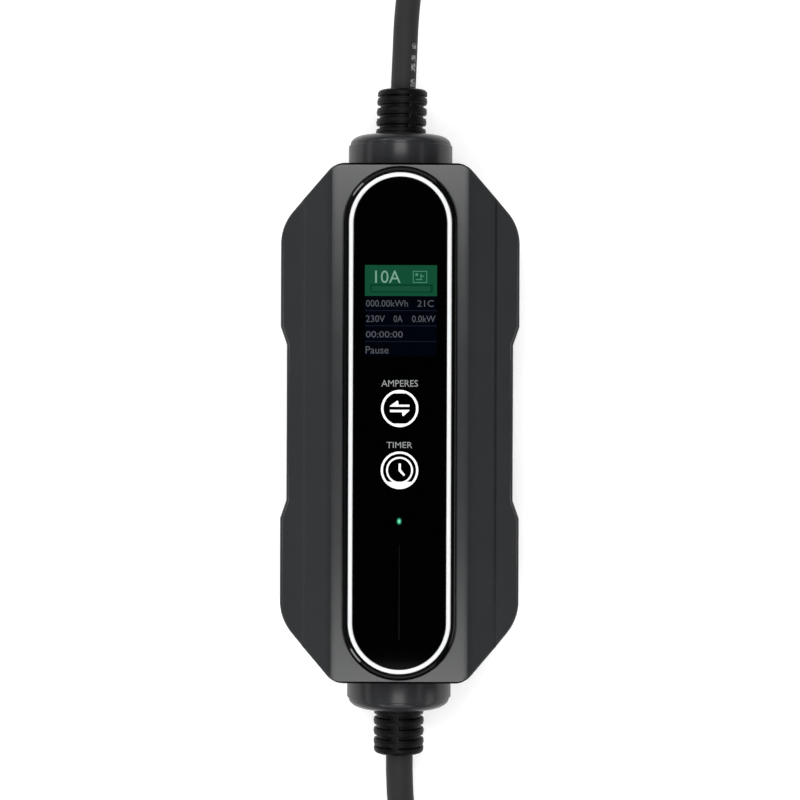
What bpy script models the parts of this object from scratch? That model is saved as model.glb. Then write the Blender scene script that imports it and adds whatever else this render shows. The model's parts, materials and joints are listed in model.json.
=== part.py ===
"""Portable EV charger: an in-line control box with its mains lead and its vehicle lead.

Metres, +Z up. The box lies on its back: X across it, +Y towards the mains end, +Z out of the
screen. The origin is under the middle of the box, on the face that it lies on.
"""
import math

import bmesh
import bpy
import numpy as np
from mathutils import Matrix, Vector

MM = 0.001
GAP = 0.3 * MM  # left between pieces that touch or seat on each other

# Control box, outside
BOX_LENGTH = 194.6 * MM
BOX_WIDTH = 90.1 * MM
BOX_DEPTH = 51 * MM
WAIST_INSET = 2.4 * MM  # how far each side steps in at the middle
WAIST_HALF_LENGTH = 29.3 * MM
WAIST_SLOPE_LENGTH = 6.8 * MM
CORNER_CUT_ACROSS = 20.6 * MM
CORNER_CUT_ALONG = 23.2 * MM
CORNER_OUTER_RADIUS = 18 * MM
CORNER_INNER_RADIUS = 8.3 * MM
FRONT_STEP_MARGIN = 9.7 * MM  # from each side to the step
FRONT_STEP_HALF = BOX_WIDTH / 2 - FRONT_STEP_MARGIN
INNER_FACET_FALL = 3.1 * MM
STEP_FALL = 0.8 * MM
STEP_RUN = 1.0 * MM
OUTER_FACET_FALL = 4.4 * MM
BACK_CHAMFER_RUN = 9 * MM
BACK_FLAT_HALF = BOX_WIDTH / 2 - BACK_CHAMFER_RUN
BACK_CHAMFER_HEIGHT = 9 * MM
EDGE_ROUND = 0.9 * MM
LEAD_AXIS_Z = 25.5 * MM  # height of both leads and of the seam between the shells
WALL = 3.2 * MM
FRONT_WALL = 4.2 * MM

# Seal between the shells
SEAL_GROOVE_INSET = 0.9 * MM
SEAL_GROOVE_WIDTH = 1.5 * MM
SEAL_GROOVE_DEPTH = 1.1 * MM

# Case screws, from the back
CASE_SCREW_SIDE_MARGIN = 13.5 * MM
CASE_SCREW_END_MARGIN = 40 * MM
CASE_SCREW_X = BOX_WIDTH / 2 - CASE_SCREW_SIDE_MARGIN
CASE_SCREW_Y = BOX_LENGTH / 2 - CASE_SCREW_END_MARGIN
CASE_SCREW_RADIUS = 1.5 * MM
CASE_SCREW_HEAD_RADIUS = 3.0 * MM
CASE_SCREW_HEAD_HEIGHT = 2.2 * MM
CASE_SCREW_SINK = 6 * MM
CASE_SCREW_BITE = 9 * MM
BOSS_WALL = 1.5 * MM

# Front panel
PANEL_HALF_WIDTH = 21.2 * MM
PANEL_SIDE_MARGIN = 4.3 * MM  # flat strip left on each side of the panel
PANEL_END_MARGIN = 1.45 * MM
PANEL_HALF_LENGTH = BOX_LENGTH / 2 - PANEL_END_MARGIN
FRONT_STRIP_HALF = PANEL_HALF_WIDTH + PANEL_SIDE_MARGIN
POCKET_DEPTH = 2.6 * MM
BEZEL_SLOPE = 1.7 * MM  # width of the sloped ring that leads down to the trim
TRIM_WIDTH = 1.7 * MM
WINDOW_SINK = 0.7 * MM
DISPLAY_Y = 42.2 * MM
DISPLAY_WIDTH = 28 * MM
DISPLAY_HEIGHT = 35 * MM
DISPLAY_FRAME = 3.5 * MM
DISPLAY_THICKNESS = 3 * MM
KEY_CURRENT_Y = 5.4 * MM
KEY_TIMER_Y = -17.7 * MM
KEY_PAD_RADIUS = 5.5 * MM
STATUS_Y = -37 * MM
LIGHT_GUIDE_RADIUS = 1.8 * MM
TOUCH_BOARD_WIDTH = 30 * MM
TOUCH_BOARD_MARGIN = 7 * MM
BOARD_THICKNESS = 1.6 * MM
STAKE_RADIUS = 1.2 * MM
STAKE_EDGE = 2.6 * MM

# Main board and what it carries
MAIN_BOARD_SIDE_ROOM = 1.5 * MM  # to the case screws' bosses
MAIN_BOARD_END_ROOM = 33 * MM
MAIN_BOARD_WIDTH = 2 * (CASE_SCREW_X - CASE_SCREW_HEAD_RADIUS - BOSS_WALL - MAIN_BOARD_SIDE_ROOM)
MAIN_BOARD_LENGTH = BOX_LENGTH - 2 * MAIN_BOARD_END_ROOM
MAIN_BOARD_Z = 9.5 * MM
BOARD_SCREW_EDGE = 4.5 * MM
BOARD_SCREW_RADIUS = 1.3 * MM
BOARD_SCREW_HEAD_RADIUS = 2.7 * MM
BOARD_SCREW_HEAD_HEIGHT = 1.8 * MM
BOARD_SCREW_BITE = 4.5 * MM
BOARD_POST_RADIUS = 3.2 * MM
TERMINAL_DEPTH = 11 * MM
TERMINAL_HEIGHT = 13 * MM
TERMINAL_MARGIN = 2.5 * MM
TERMINAL_SCREW_ROOM = 7.25 * MM  # board left for its screw beside the wider terminal block
MAINS_CORE_COUNT = 3
VEHICLE_CORE_COUNT = 4
TERMINAL_PITCH = (MAIN_BOARD_WIDTH - 2 * TERMINAL_SCREW_ROOM - TERMINAL_MARGIN) / VEHICLE_CORE_COUNT
RELAY_SIZE = (15 * MM, 29 * MM, 20 * MM)
TRANSFORMER_SIZE = (22 * MM, 24 * MM, 19 * MM)
CORE_BORE_RADIUS = 6.2 * MM
CORE_RADIUS = 11 * MM
CORE_THICKNESS = 9 * MM
CAPACITOR_RADIUS = 5 * MM
CAPACITOR_HEIGHT = 19 * MM
FUSE_RADIUS = 2.6 * MM
FUSE_LENGTH = 20 * MM
VARISTOR_RADIUS = 4 * MM
VARISTOR_THICKNESS = 4 * MM
CHIP_SIZE = (12 * MM, 12 * MM, 1.4 * MM)
RIBBON_WIDTH = 12 * MM
RIBBON_THICKNESS = 0.6 * MM
RIBBON_BOW = 3 * MM

# End caps and their rubber boots
CAP_RADIUS = 19.9 * MM
CAP_LENGTH = 12.4 * MM
CAP_SHOULDER_RADIAL = 5.6 * MM
CAP_SHOULDER_AXIAL = 3.6 * MM
CAP_GROOVE = 0.5 * MM
CAP_NECK_RADIUS = 13 * MM
CAP_FLANGE_RADIUS = 17 * MM
CAP_FLANGE_THICKNESS = 2.5 * MM
BOOT_LENGTH = 17.6 * MM
BOOT_RADIUS = 9.6 * MM
BOOT_CORE_RADIUS = 7.3 * MM
BOOT_RIB_PITCH = 3.96 * MM
BOOT_SLOT_WIDTH = 1.7 * MM
BOOT_SPINE_WIDTH = 3.4 * MM
BOOT_FLANGE_RADIUS = 12 * MM
BOOT_FLANGE_THICKNESS = 2.5 * MM
MAINS_BOOT_LEAN = 0.042  # sideways run of the mains boot for each metre along it

# Leads
MAINS_LEAD_RADIUS = 4.8 * MM
VEHICLE_LEAD_RADIUS = 5.15 * MM
CORE_WIRE_RADIUS = 1.5 * MM
CORE_WIRE_SPREAD = 2.6 * MM
HANK_PITCH = 10.6 * MM  # from turn to turn, across and up
HANK_COLUMNS = 2
HANK_LAYERS = 5
HANK_TURN_RADIUS = 41.6 * MM  # of the outer turns' half-round ends
HANK_STRAIGHT = 125 * MM
HANK_X = -8 * MM
HANK_NEAR_Y = -257.6 * MM  # middle of the half-round end nearer the box
TIE_WIDTH = 16 * MM
TIE_THICKNESS = 1.5 * MM
TIE_CORNER = 4 * MM

# Mains plug, lengths along its own axis from the end of its boot
PLUG_START = Vector((33 * MM, 264 * MM, 20.2 * MM))
PLUG_BOOT_LENGTH = 26 * MM
PLUG_BOOT_RADIUS = 8.5 * MM
PLUG_NECK_RADIUS = 12.5 * MM
PLUG_RADIUS = 19.5 * MM
PLUG_TAPER_LENGTH = 16 * MM
PLUG_BODY_LENGTH = 36 * MM
PLUG_GRIP_DEPTH = 2.2 * MM
PIN_RADIUS = 2.4 * MM
PIN_LENGTH = 19 * MM
PIN_ROOT = 6 * MM
PIN_SPACING = 19 * MM
EARTH_CLIP_WIDTH = 5 * MM
EARTH_CLIP_THICKNESS = 1.0 * MM
EARTH_HOLE_RADIUS = 2.5 * MM
EARTH_HOLE_OFFSET = 10 * MM

# Vehicle connector, lengths along its own axis from the end of its boot
CONNECTOR_HEADING = -20  # degrees from -Y towards +X
LOOP_RADIUS = 41.2 * MM  # of the lead where it swings round into the connector
LOOP_RISE_START = 17 * MM  # from the middle of the hank's near end, along +Y
LOOP_MIDDLE = 33 * MM  # likewise, to the middle of the loop
CONNECTOR_BOOT_LENGTH = 34 * MM
CONNECTOR_BOOT_TIP_RADIUS = 8.2 * MM
CONNECTOR_BOOT_RADIUS = 12.5 * MM
HANDLE_LENGTH = 104 * MM
HANDLE_REAR_HALF = 15.5 * MM
HANDLE_GRIP_HALF = 17.5 * MM
HANDLE_WALL = 2.6 * MM
NOSE_RADIUS = 28.6 * MM
NOSE_LENGTH = 50 * MM
NOSE_COLLAR = 7 * MM  # full round part that meets the handle
NOSE_WALL = 2.7 * MM
NOSE_FLAT = 20.5 * MM  # from the axis to the flat of the shroud
NOSE_FLOOR = 6 * MM
SOCKET_DEPTH = 36 * MM
CONTACT_PITCH = 16.6 * MM
CONTACT_ROW = 14.2 * MM
SIGNAL_ROW = 12.2 * MM
SIGNAL_HALF_PITCH = 7 * MM
TOWER_RADIUS = 6.4 * MM
SIGNAL_TOWER_RADIUS = 4.4 * MM
CONTACT_BORE = 3.1 * MM
SIGNAL_BORE = 1.7 * MM
TOWER_SHORT = 3 * MM  # how far the towers end behind the shroud's rim

# Routes of the leads where they aren't coiled, in millimetres
MAINS_ROUTE = [
    (0.9, 127.6, 25.5), (1.5, 142, 25.4), (2.1, 155, 24.9), (3.6, 168, 22.5), (7.4, 181, 18.1),
    (14.2, 194.5, 12.9), (23, 208.5, 8.7), (32, 223.5, 6.0), (38.2, 239, 4.9), (40, 255, 4.8),
    (34.5, 271.5, 4.8), (21.5, 285.5, 4.8), (3, 293.5, 4.8), (-17, 293.5, 4.8),
    (-36, 285, 4.8), (-49.5, 269.5, 4.8), (-54.5, 250, 4.8), (-51, 230.5, 5.2), (-40, 214, 7.2),
    (-24.5, 203.5, 11.2), (-7.5, 200, 15.8), (8.3, 203, 19.4), (21.3, 211.7, 21.6),
    (30, 224.7, 21.8), (33, 240, 20.9), (33, 252, 20.3), (33, 263.7, 20.2),
]
VEHICLE_ROUTE = [
    (0.3, -127.6, 25.5), (0.4, -137, 25.4), (1.2, -149, 23.8), (4.5, -163, 20.3),
    (11, -178, 15.6), (19.5, -193, 11.2), (27.5, -207, 8.3), (32.4, -218, 7.1),
    (33.6, -227.7, 6.95),
]


def material(name, colour, roughness, metallic=0.0):
    """A plain finish: base colour, roughness and metallic value."""
    made = bpy.data.materials.new(name)
    made.use_nodes = True
    shader = made.node_tree.nodes["Principled BSDF"]
    shader.inputs["Base Color"].default_value = (*colour, 1)
    shader.inputs["Roughness"].default_value = roughness
    shader.inputs["Metallic"].default_value = metallic
    return made


def piece(name, vertices, faces, finish, smooth=False):
    """An object from vertices and faces, with its faces turned outwards."""
    mesh = bpy.data.meshes.new(name)
    mesh.from_pydata([tuple(v) for v in vertices], [], faces)
    made = bmesh.new()
    made.from_mesh(mesh)
    bmesh.ops.remove_doubles(made, verts=made.verts, dist=1e-7)
    bmesh.ops.recalc_face_normals(made, faces=made.faces)
    if made.calc_volume(signed=True) < 0:
        bmesh.ops.reverse_faces(made, faces=made.faces)
    made.to_mesh(mesh)
    made.free()
    if smooth:
        mesh.shade_smooth()
        mesh.set_sharp_from_angle(angle=math.radians(35))
    item = bpy.data.objects.new(name, mesh)
    bpy.context.scene.collection.objects.link(item)
    if finish:
        mesh.materials.append(finish)
    return item


def frame_along(origin, direction, up=(0, 0, 1)):
    """A frame at origin whose Z runs along direction and whose Y is as near up as it can be."""
    z = Vector(direction).normalized()
    x = Vector(up).cross(z).normalized()
    y = z.cross(x)
    turn = Matrix((x, y, z)).transposed().to_4x4()
    return Matrix.Translation(Vector(origin)) @ turn


def loft(name, rings, frame, finish, smooth=False):
    """A closed solid through rings of equal point counts, capped at both ends."""
    count = len(rings[0])
    vertices = [frame @ Vector(p) for ring in rings for p in ring]
    faces = []
    for level in range(len(rings) - 1):
        low = level * count
        for i in range(count):
            j = (i + 1) % count
            faces.append((low + i, low + j, low + count + j, low + count + i))
    faces.append(tuple(range(count))[::-1])
    faces.append(tuple(range((len(rings) - 1) * count, len(rings) * count)))
    return piece(name, vertices, faces, finish, smooth)


def prism(name, outline, low, high, frame, finish=None):
    """An outline in the frame's XY, carried along its Z from low to high."""
    rings = [[(x, y, level) for x, y in outline] for level in (low, high)]
    return loft(name, rings, frame, finish)


def turned(name, profile, frame, finish=None, sides=32, smooth=True):
    """A closed profile of (radius, height) points turned about the frame's Z.

    A profile whose first and last radius are nought is a solid; any other closes on itself.
    """
    solid = profile[0][0] == 0 and profile[-1][0] == 0
    vertices, rows = [], []
    for radius, height in profile:
        start = len(vertices)
        if radius == 0:
            vertices.append(frame @ Vector((0, 0, height)))
            rows.append([start] * sides)
            continue
        for i in range(sides):
            angle = 2 * math.pi * i / sides
            vertices.append(frame @ Vector((radius * math.cos(angle), radius * math.sin(angle), height)))
        rows.append(list(range(start, start + sides)))
    pairs = list(zip(rows[:-1], rows[1:]))
    if not solid:
        pairs.append((rows[-1], rows[0]))
    faces = []
    for low, high in pairs:
        for i in range(sides):
            j = (i + 1) % sides
            corners = [low[i], low[j], high[j], high[i]]
            faces.append(tuple(dict.fromkeys(corners)))
    return piece(name, vertices, faces, finish, smooth)


def cylinder(name, radius, low, high, frame, finish=None, sides=24):
    """A round bar along the frame's Z."""
    return turned(name, [(0, low), (radius, low), (radius, high), (0, high)], frame, finish, sides)


def block(name, low, high, finish=None):
    """A box between two corners."""
    outline = [(low[0], low[1]), (high[0], low[1]), (high[0], high[1]), (low[0], high[1])]
    return prism(name, outline, low[2], high[2], Matrix.Identity(4), finish)


def rounded(corners, radii, inset=0.0, steps=3):
    """A closed outline from its sharp corners, drawn in by inset, each corner with its radius.

    The corners run anticlockwise. Each side moves inwards by inset, neighbouring sides meet
    again, and an arc of the corner's radius, less the inset, rounds each meeting point.
    """
    points = [Vector(c) for c in corners]
    count = len(points)
    sides = []
    for i in range(count):
        along = (points[(i + 1) % count] - points[i]).normalized()
        inwards = Vector((-along.y, along.x))
        sides.append((points[i] + inset * inwards, along))
    outline = []
    for i in range(count):
        (start, before), (base, after) = sides[i - 1], sides[i]
        cross = before.x * after.y - before.y * after.x
        offset = base - start
        reach = (offset.x * after.y - offset.y * after.x) / cross
        corner = start + reach * before
        turn = math.atan2(cross, before.dot(after))
        radius = radii[i] - inset if turn > 0 else radii[i] + inset
        if radii[i] == 0 or radius <= 0:
            outline.append((corner.x, corner.y))
            continue
        back = radius * math.tan(abs(turn) / 2)
        first = corner - back * before
        centre = first + radius * math.copysign(1, turn) * Vector((-before.y, before.x))
        for k in range(steps + 1):
            angle = turn * k / steps
            arm = first - centre
            outline.append(
                (
                    centre.x + arm.x * math.cos(angle) - arm.y * math.sin(angle),
                    centre.y + arm.x * math.sin(angle) + arm.y * math.cos(angle),
                )
            )
    return outline


def stadium(half_width, half_length, inset=0.0, steps=12):
    """An outline with straight sides along Y and half-round ends."""
    radius = half_width - inset
    straight = half_length - half_width
    ends = []
    for side, first in ((1, 0.0), (-1, math.pi)):
        for k in range(steps + 1):
            angle = first + math.pi * k / steps
            ends.append((radius * math.cos(angle), side * straight + radius * math.sin(angle)))
    return ends


def cut(target, cutter, operation="DIFFERENCE"):
    """Adds a Boolean of cutter to target; the cutter stays in the file as a hidden wire."""
    step = target.modifiers.new(cutter.name, "BOOLEAN")
    step.operation = operation
    step.solver = "EXACT"
    step.object = cutter
    cutter.hide_render = True
    cutter.display_type = "WIRE"


def joined(name, parts):
    """Several separate solids as one mesh, for use as one cutter."""
    made = bmesh.new()
    for part in parts:
        made.from_mesh(part.data)
        bpy.data.objects.remove(part)
    mesh = bpy.data.meshes.new(name)
    made.to_mesh(mesh)
    made.free()
    item = bpy.data.objects.new(name, mesh)
    bpy.context.scene.collection.objects.link(item)
    return item


UPRIGHT = Matrix.Identity(4)
ALONG_Y = frame_along((0, 0, 0), (0, -1, 0))  # X stays, Y is up, Z runs towards -Y


def plan_outline(inset=0.0):
    """The box seen from the front: cut corners, full width, and a narrower waist."""
    half_width, half_length = BOX_WIDTH / 2, BOX_LENGTH / 2
    waist = half_width - WAIST_INSET
    slope = WAIST_HALF_LENGTH + WAIST_SLOPE_LENGTH
    quarter = [
        ((waist, WAIST_HALF_LENGTH), 0),
        ((half_width, slope), 0),
        ((half_width, half_length - CORNER_CUT_ALONG), CORNER_OUTER_RADIUS),
        ((half_width - CORNER_CUT_ACROSS, half_length), CORNER_INNER_RADIUS),
    ]
    ring = quarter
    ring = ring + [((-x, y), r) for (x, y), r in reversed(quarter)]
    ring = ring + [((-x, -y), r) for (x, y), r in quarter]
    ring = ring + [((x, -y), r) for (x, y), r in reversed(quarter)]
    return rounded([c for c, _ in ring], [r for _, r in ring], inset)


def section_outline(inset=0.0):
    """The box cut across: flat back, back chamfers, upright sides, two facets and a step."""
    half = BOX_WIDTH / 2
    facet_foot = BOX_DEPTH - INNER_FACET_FALL - STEP_FALL
    right = [
        (BACK_FLAT_HALF, 0),
        (half, BACK_CHAMFER_HEIGHT),
        (half, facet_foot - OUTER_FACET_FALL),
        (FRONT_STEP_HALF + STEP_RUN, facet_foot),
        (FRONT_STEP_HALF, BOX_DEPTH - INNER_FACET_FALL),
        (FRONT_STRIP_HALF, BOX_DEPTH),
    ]
    corners = right + [(-x, z) for x, z in reversed(right)]
    return rounded(corners, [0] * len(corners), inset)


def facet_height(x):
    """Height of the front over the strip, the facets and the step, as the section gives it."""
    step = BOX_DEPTH - INNER_FACET_FALL
    foot = step - STEP_FALL
    across = [FRONT_STRIP_HALF, FRONT_STEP_HALF, FRONT_STEP_HALF + STEP_RUN, BOX_WIDTH / 2]
    return float(np.interp(abs(x), across, [BOX_DEPTH, step, foot, foot - OUTER_FACET_FALL]))


def case_screw_places():
    """The six case screws: at the waist and near each end."""
    return [(sx * CASE_SCREW_X, y) for sx in (1, -1) for y in (CASE_SCREW_Y, 0, -CASE_SCREW_Y)]


def case_screw_end():
    """Height that the points of the case screws reach in the front shell's bosses."""
    return LEAD_AXIS_Z + CASE_SCREW_BITE + CASE_SCREW_RADIUS


def board_screw_places():
    """The main board's four screws."""
    x = MAIN_BOARD_WIDTH / 2 - BOARD_SCREW_EDGE
    y = MAIN_BOARD_LENGTH / 2 - BOARD_SCREW_EDGE
    return [(x, y), (-x, y), (-x, -y), (x, -y)]


def box_body(name, finish):
    """The whole box: its plan and its section meet, and the outer edges are rounded."""
    body = prism(name, plan_outline(), -BOX_DEPTH, 2 * BOX_DEPTH, UPRIGHT, finish)
    section = prism(name + "_section", section_outline(), -BOX_LENGTH, BOX_LENGTH, ALONG_Y)
    cut(body, section, "INTERSECT")
    rounding = body.modifiers.new("edge_round", "BEVEL")
    rounding.width = EDGE_ROUND
    rounding.segments = 1
    rounding.limit_method = "ANGLE"
    rounding.angle_limit = math.radians(50)
    rounding.use_clamp_overlap = False
    hollow = prism(name + "_hollow", plan_outline(WALL), WALL, BOX_DEPTH - FRONT_WALL, UPRIGHT)
    hollow_section = prism(
        name + "_hollow_section", section_outline(WALL), -BOX_LENGTH, BOX_LENGTH, ALONG_Y
    )
    cut(hollow, hollow_section, "INTERSECT")
    cut(body, hollow)
    return body


def half_space(name, low, high):
    """A block that takes away everything between two heights."""
    reach = BOX_LENGTH
    return block(name, (-reach, -reach, low), (reach, reach, high))


def neck_holes(name):
    """The two round holes in the end walls that the end caps' necks pass through."""
    inside = BOX_LENGTH / 2 - 2 * WALL
    outside = BOX_LENGTH / 2 + WALL
    bars = []
    for sign in (1, -1):
        frame = frame_along((0, 0, LEAD_AXIS_Z), (0, sign, 0))
        bars.append(cylinder(name, CAP_NECK_RADIUS + GAP, inside, outside, frame, sides=24))
    return joined(name, bars)


def seal_groove(name, low, high):
    """A ring that follows the wall, for the seal's groove."""
    ring = prism(name, plan_outline(SEAL_GROOVE_INSET), low, high, UPRIGHT)
    core = prism(
        name + "_core", plan_outline(SEAL_GROOVE_INSET + SEAL_GROOVE_WIDTH),
        low - GAP, high + GAP, UPRIGHT,
    )
    cut(ring, core)
    return ring


def rear_shell(finish):
    """The rear shell: bosses for the case screws and posts for the main board."""
    shell = box_body("rear_shell", finish)
    rim = LEAD_AXIS_Z - GAP / 2
    bosses = [
        cylinder("boss", CASE_SCREW_HEAD_RADIUS + BOSS_WALL, WALL / 2, rim + WALL,
                 Matrix.Translation((x, y, 0)), sides=10)
        for x, y in case_screw_places()
    ]
    posts = [
        cylinder("post", BOARD_POST_RADIUS, WALL / 2, MAIN_BOARD_Z - GAP,
                 Matrix.Translation((x, y, 0)), sides=8)
        for x, y in board_screw_places()
    ]
    cut(shell, joined("rear_bosses", bosses), "UNION")
    cut(shell, joined("rear_posts", posts), "UNION")
    cut(shell, half_space("rear_trim", rim, 3 * BOX_DEPTH))
    wide, narrow = CASE_SCREW_HEAD_RADIUS + GAP, CASE_SCREW_RADIUS + GAP
    profile = [
        (0, -WALL), (wide, -WALL), (wide, CASE_SCREW_SINK), (narrow, CASE_SCREW_SINK),
        (narrow, BOX_DEPTH / 2 + WALL), (0, BOX_DEPTH / 2 + WALL),
    ]
    bores = [
        turned("bore", profile, Matrix.Translation((x, y, 0)), sides=10)
        for x, y in case_screw_places()
    ]
    cut(shell, joined("rear_bores", bores))
    pilots = [
        cylinder("pilot", BOARD_SCREW_RADIUS + GAP, MAIN_BOARD_Z - BOARD_SCREW_BITE - GAP,
                 MAIN_BOARD_Z + WALL, Matrix.Translation((x, y, 0)), sides=8)
        for x, y in board_screw_places()
    ]
    cut(shell, joined("rear_pilots", pilots))
    cut(shell, seal_groove("rear_groove", rim - SEAL_GROOVE_DEPTH, rim + WALL))
    cut(shell, neck_holes("rear_neck_holes"))
    return shell


def panel_openings():
    """Openings through the pocket's floor: display, two key pads and the status light."""
    low, high = BOX_DEPTH - FRONT_WALL - WALL, BOX_DEPTH - POCKET_DEPTH + GAP
    half_width, half_height = DISPLAY_WIDTH / 2 + GAP, DISPLAY_HEIGHT / 2 + GAP
    parts = [
        block("opening", (-half_width, DISPLAY_Y - half_height, low),
              (half_width, DISPLAY_Y + half_height, high))
    ]
    for y, radius in (
        (KEY_CURRENT_Y, KEY_PAD_RADIUS),
        (KEY_TIMER_Y, KEY_PAD_RADIUS),
        (STATUS_Y, LIGHT_GUIDE_RADIUS),
    ):
        parts.append(
            cylinder("opening", radius + GAP, low, high, Matrix.Translation((0, y, 0)), sides=20)
        )
    return joined("panel_openings", parts)


def stake_places():
    """The heat-staked pins that hold the display and the touch board."""
    display_x = DISPLAY_WIDTH / 2 + DISPLAY_FRAME - STAKE_EDGE / 2
    display_y = DISPLAY_HEIGHT / 2 + DISPLAY_FRAME + STAKE_EDGE / 2
    touch_x = TOUCH_BOARD_WIDTH / 2 - STAKE_EDGE
    low, high = touch_board_span()
    places = [(sx * display_x, DISPLAY_Y + sy * display_y) for sx in (1, -1) for sy in (1, -1)]
    places += [(sx * touch_x, y) for sx in (1, -1) for y in (low + STAKE_EDGE, high - STAKE_EDGE)]
    return places


def touch_board_span():
    """Lowest and highest Y of the touch board: it covers both keys and the status light."""
    return STATUS_Y - TOUCH_BOARD_MARGIN, KEY_CURRENT_Y + KEY_PAD_RADIUS + TOUCH_BOARD_MARGIN / 2


def front_shell(finish):
    """The front shell: panel pocket, openings, screw bosses and stake pins."""
    shell = box_body("front_shell", finish)
    rim = LEAD_AXIS_Z + GAP / 2
    ceiling = BOX_DEPTH - FRONT_WALL
    bosses = []
    for x, y in case_screw_places():
        top = facet_height(abs(x) + CASE_SCREW_HEAD_RADIUS) - WALL / 2
        bosses.append(
            cylinder("boss", CASE_SCREW_HEAD_RADIUS + BOSS_WALL, rim - WALL, top,
                     Matrix.Translation((x, y, 0)), sides=10)
        )
    cut(shell, joined("front_bosses", bosses), "UNION")
    cut(shell, half_space("front_trim", -BOX_DEPTH, rim))
    pins = [
        cylinder("pin", STAKE_RADIUS, ceiling - DISPLAY_THICKNESS - 2 * GAP, ceiling + WALL / 4,
                 Matrix.Translation((x, y, 0)), sides=8)
        for x, y in stake_places()
    ]
    cut(shell, joined("front_pins", pins), "UNION")
    pocket = prism("panel_pocket", stadium(PANEL_HALF_WIDTH + GAP, PANEL_HALF_LENGTH + GAP),
                   BOX_DEPTH - POCKET_DEPTH, BOX_DEPTH + WALL, UPRIGHT)
    cut(shell, pocket)
    cut(shell, panel_openings())
    bores = [
        cylinder("bore", CASE_SCREW_RADIUS + GAP, rim - WALL, case_screw_end() + GAP,
                 Matrix.Translation((x, y, 0)), sides=8)
        for x, y in case_screw_places()
    ]
    cut(shell, joined("front_bores", bores))
    cut(shell, seal_groove("front_groove", rim - WALL, rim + SEAL_GROOVE_DEPTH))
    cut(shell, neck_holes("front_neck_holes"))
    return shell


def seals(finish):
    """The rubber seal in the grooves, in two halves that end at the end caps' necks."""
    low = LEAD_AXIS_Z - GAP / 2 - SEAL_GROOVE_DEPTH + GAP
    high = LEAD_AXIS_Z + GAP / 2 + SEAL_GROOVE_DEPTH - GAP
    stop = CAP_NECK_RADIUS + 3 * GAP
    for name, sign in (("seal_left", -1), ("seal_right", 1)):
        seal = prism(name, plan_outline(SEAL_GROOVE_INSET + GAP), low, high, UPRIGHT, finish)
        core = prism(
            name + "_core", plan_outline(SEAL_GROOVE_INSET + SEAL_GROOVE_WIDTH - GAP),
            low - WALL, high + WALL, UPRIGHT,
        )
        cut(seal, core)
        edge = sorted((sign * stop, -sign * BOX_LENGTH))
        trim = block(name + "_trim", (edge[0], -BOX_LENGTH, 0), (edge[1], BOX_LENGTH, BOX_DEPTH))
        cut(seal, trim)


def case_screws(finish):
    """Pan-head screws, sunk in the back, that reach into the front shell's bosses."""
    seat = CASE_SCREW_SINK - GAP
    end = case_screw_end()
    tip = end - CASE_SCREW_RADIUS
    profile = [
        (0, seat - CASE_SCREW_HEAD_HEIGHT + CASE_SCREW_RADIUS / 2),
        (CASE_SCREW_RADIUS, seat - CASE_SCREW_HEAD_HEIGHT + CASE_SCREW_RADIUS / 2),
        (CASE_SCREW_RADIUS, seat - CASE_SCREW_HEAD_HEIGHT),
        (CASE_SCREW_HEAD_RADIUS, seat - CASE_SCREW_HEAD_HEIGHT / 2),
        (CASE_SCREW_HEAD_RADIUS, seat), (CASE_SCREW_RADIUS, seat), (CASE_SCREW_RADIUS, tip),
        (0, end),
    ]
    for index, (x, y) in enumerate(case_screw_places(), 1):
        turned(f"case_screw_{index}", profile, Matrix.Translation((x, y, 0)), finish, sides=8)


def ring_between(name, outline_pairs, finish):
    """A closed ring whose section has one corner for each (outline, height) pair."""
    count = len(outline_pairs[0][0])
    vertices = [(x, y, level) for outline, level in outline_pairs for x, y in outline]
    faces = []
    levels = len(outline_pairs)
    for level in range(levels):
        low, high = level * count, ((level + 1) % levels) * count
        for i in range(count):
            j = (i + 1) % count
            faces.append((low + i, low + j, high + j, high + i))
    return piece(name, vertices, faces, finish)


def panel(black, white, glass):
    """The bezel ring, the trim ring and the window that fill the front pocket."""
    floor = BOX_DEPTH - POCKET_DEPTH + GAP
    top = BOX_DEPTH - GAP
    glass_top = BOX_DEPTH - WINDOW_SINK

    def outline(inset):
        return stadium(PANEL_HALF_WIDTH, PANEL_HALF_LENGTH, inset)

    trim_outer = BEZEL_SLOPE + GAP
    trim_inner = trim_outer + TRIM_WIDTH
    ring_between("panel_bezel", [
        (outline(0), floor), (outline(0), top), (outline(BEZEL_SLOPE / 4), top),
        (outline(BEZEL_SLOPE), glass_top), (outline(BEZEL_SLOPE), floor),
    ], black)
    ring_between("panel_trim", [
        (outline(trim_outer), floor), (outline(trim_outer), glass_top),
        (outline(trim_outer + TRIM_WIDTH / 2), glass_top + TRIM_WIDTH / 8),
        (outline(trim_inner), glass_top), (outline(trim_inner), floor),
    ], white)
    prism("panel_window", outline(trim_inner + GAP), floor, glass_top, UPRIGHT, glass)


def display_module(finish):
    """The display: a frame behind the wall and a raised glass in the opening."""
    ceiling = BOX_DEPTH - FRONT_WALL - GAP
    base_x = DISPLAY_WIDTH / 2 + DISPLAY_FRAME
    base_y = DISPLAY_HEIGHT / 2 + DISPLAY_FRAME + 2 * STAKE_EDGE
    module = block("display_module", (-base_x, DISPLAY_Y - base_y, ceiling - DISPLAY_THICKNESS),
                   (base_x, DISPLAY_Y + base_y, ceiling), finish)
    half = (DISPLAY_WIDTH / 2, DISPLAY_HEIGHT / 2)
    raised = block("display_glass", (-half[0], DISPLAY_Y - half[1], ceiling - DISPLAY_THICKNESS / 2),
                   (half[0], DISPLAY_Y + half[1], BOX_DEPTH - POCKET_DEPTH))
    cut(module, raised, "UNION")
    cut(module, stake_holes("display_stake_holes"))


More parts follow.
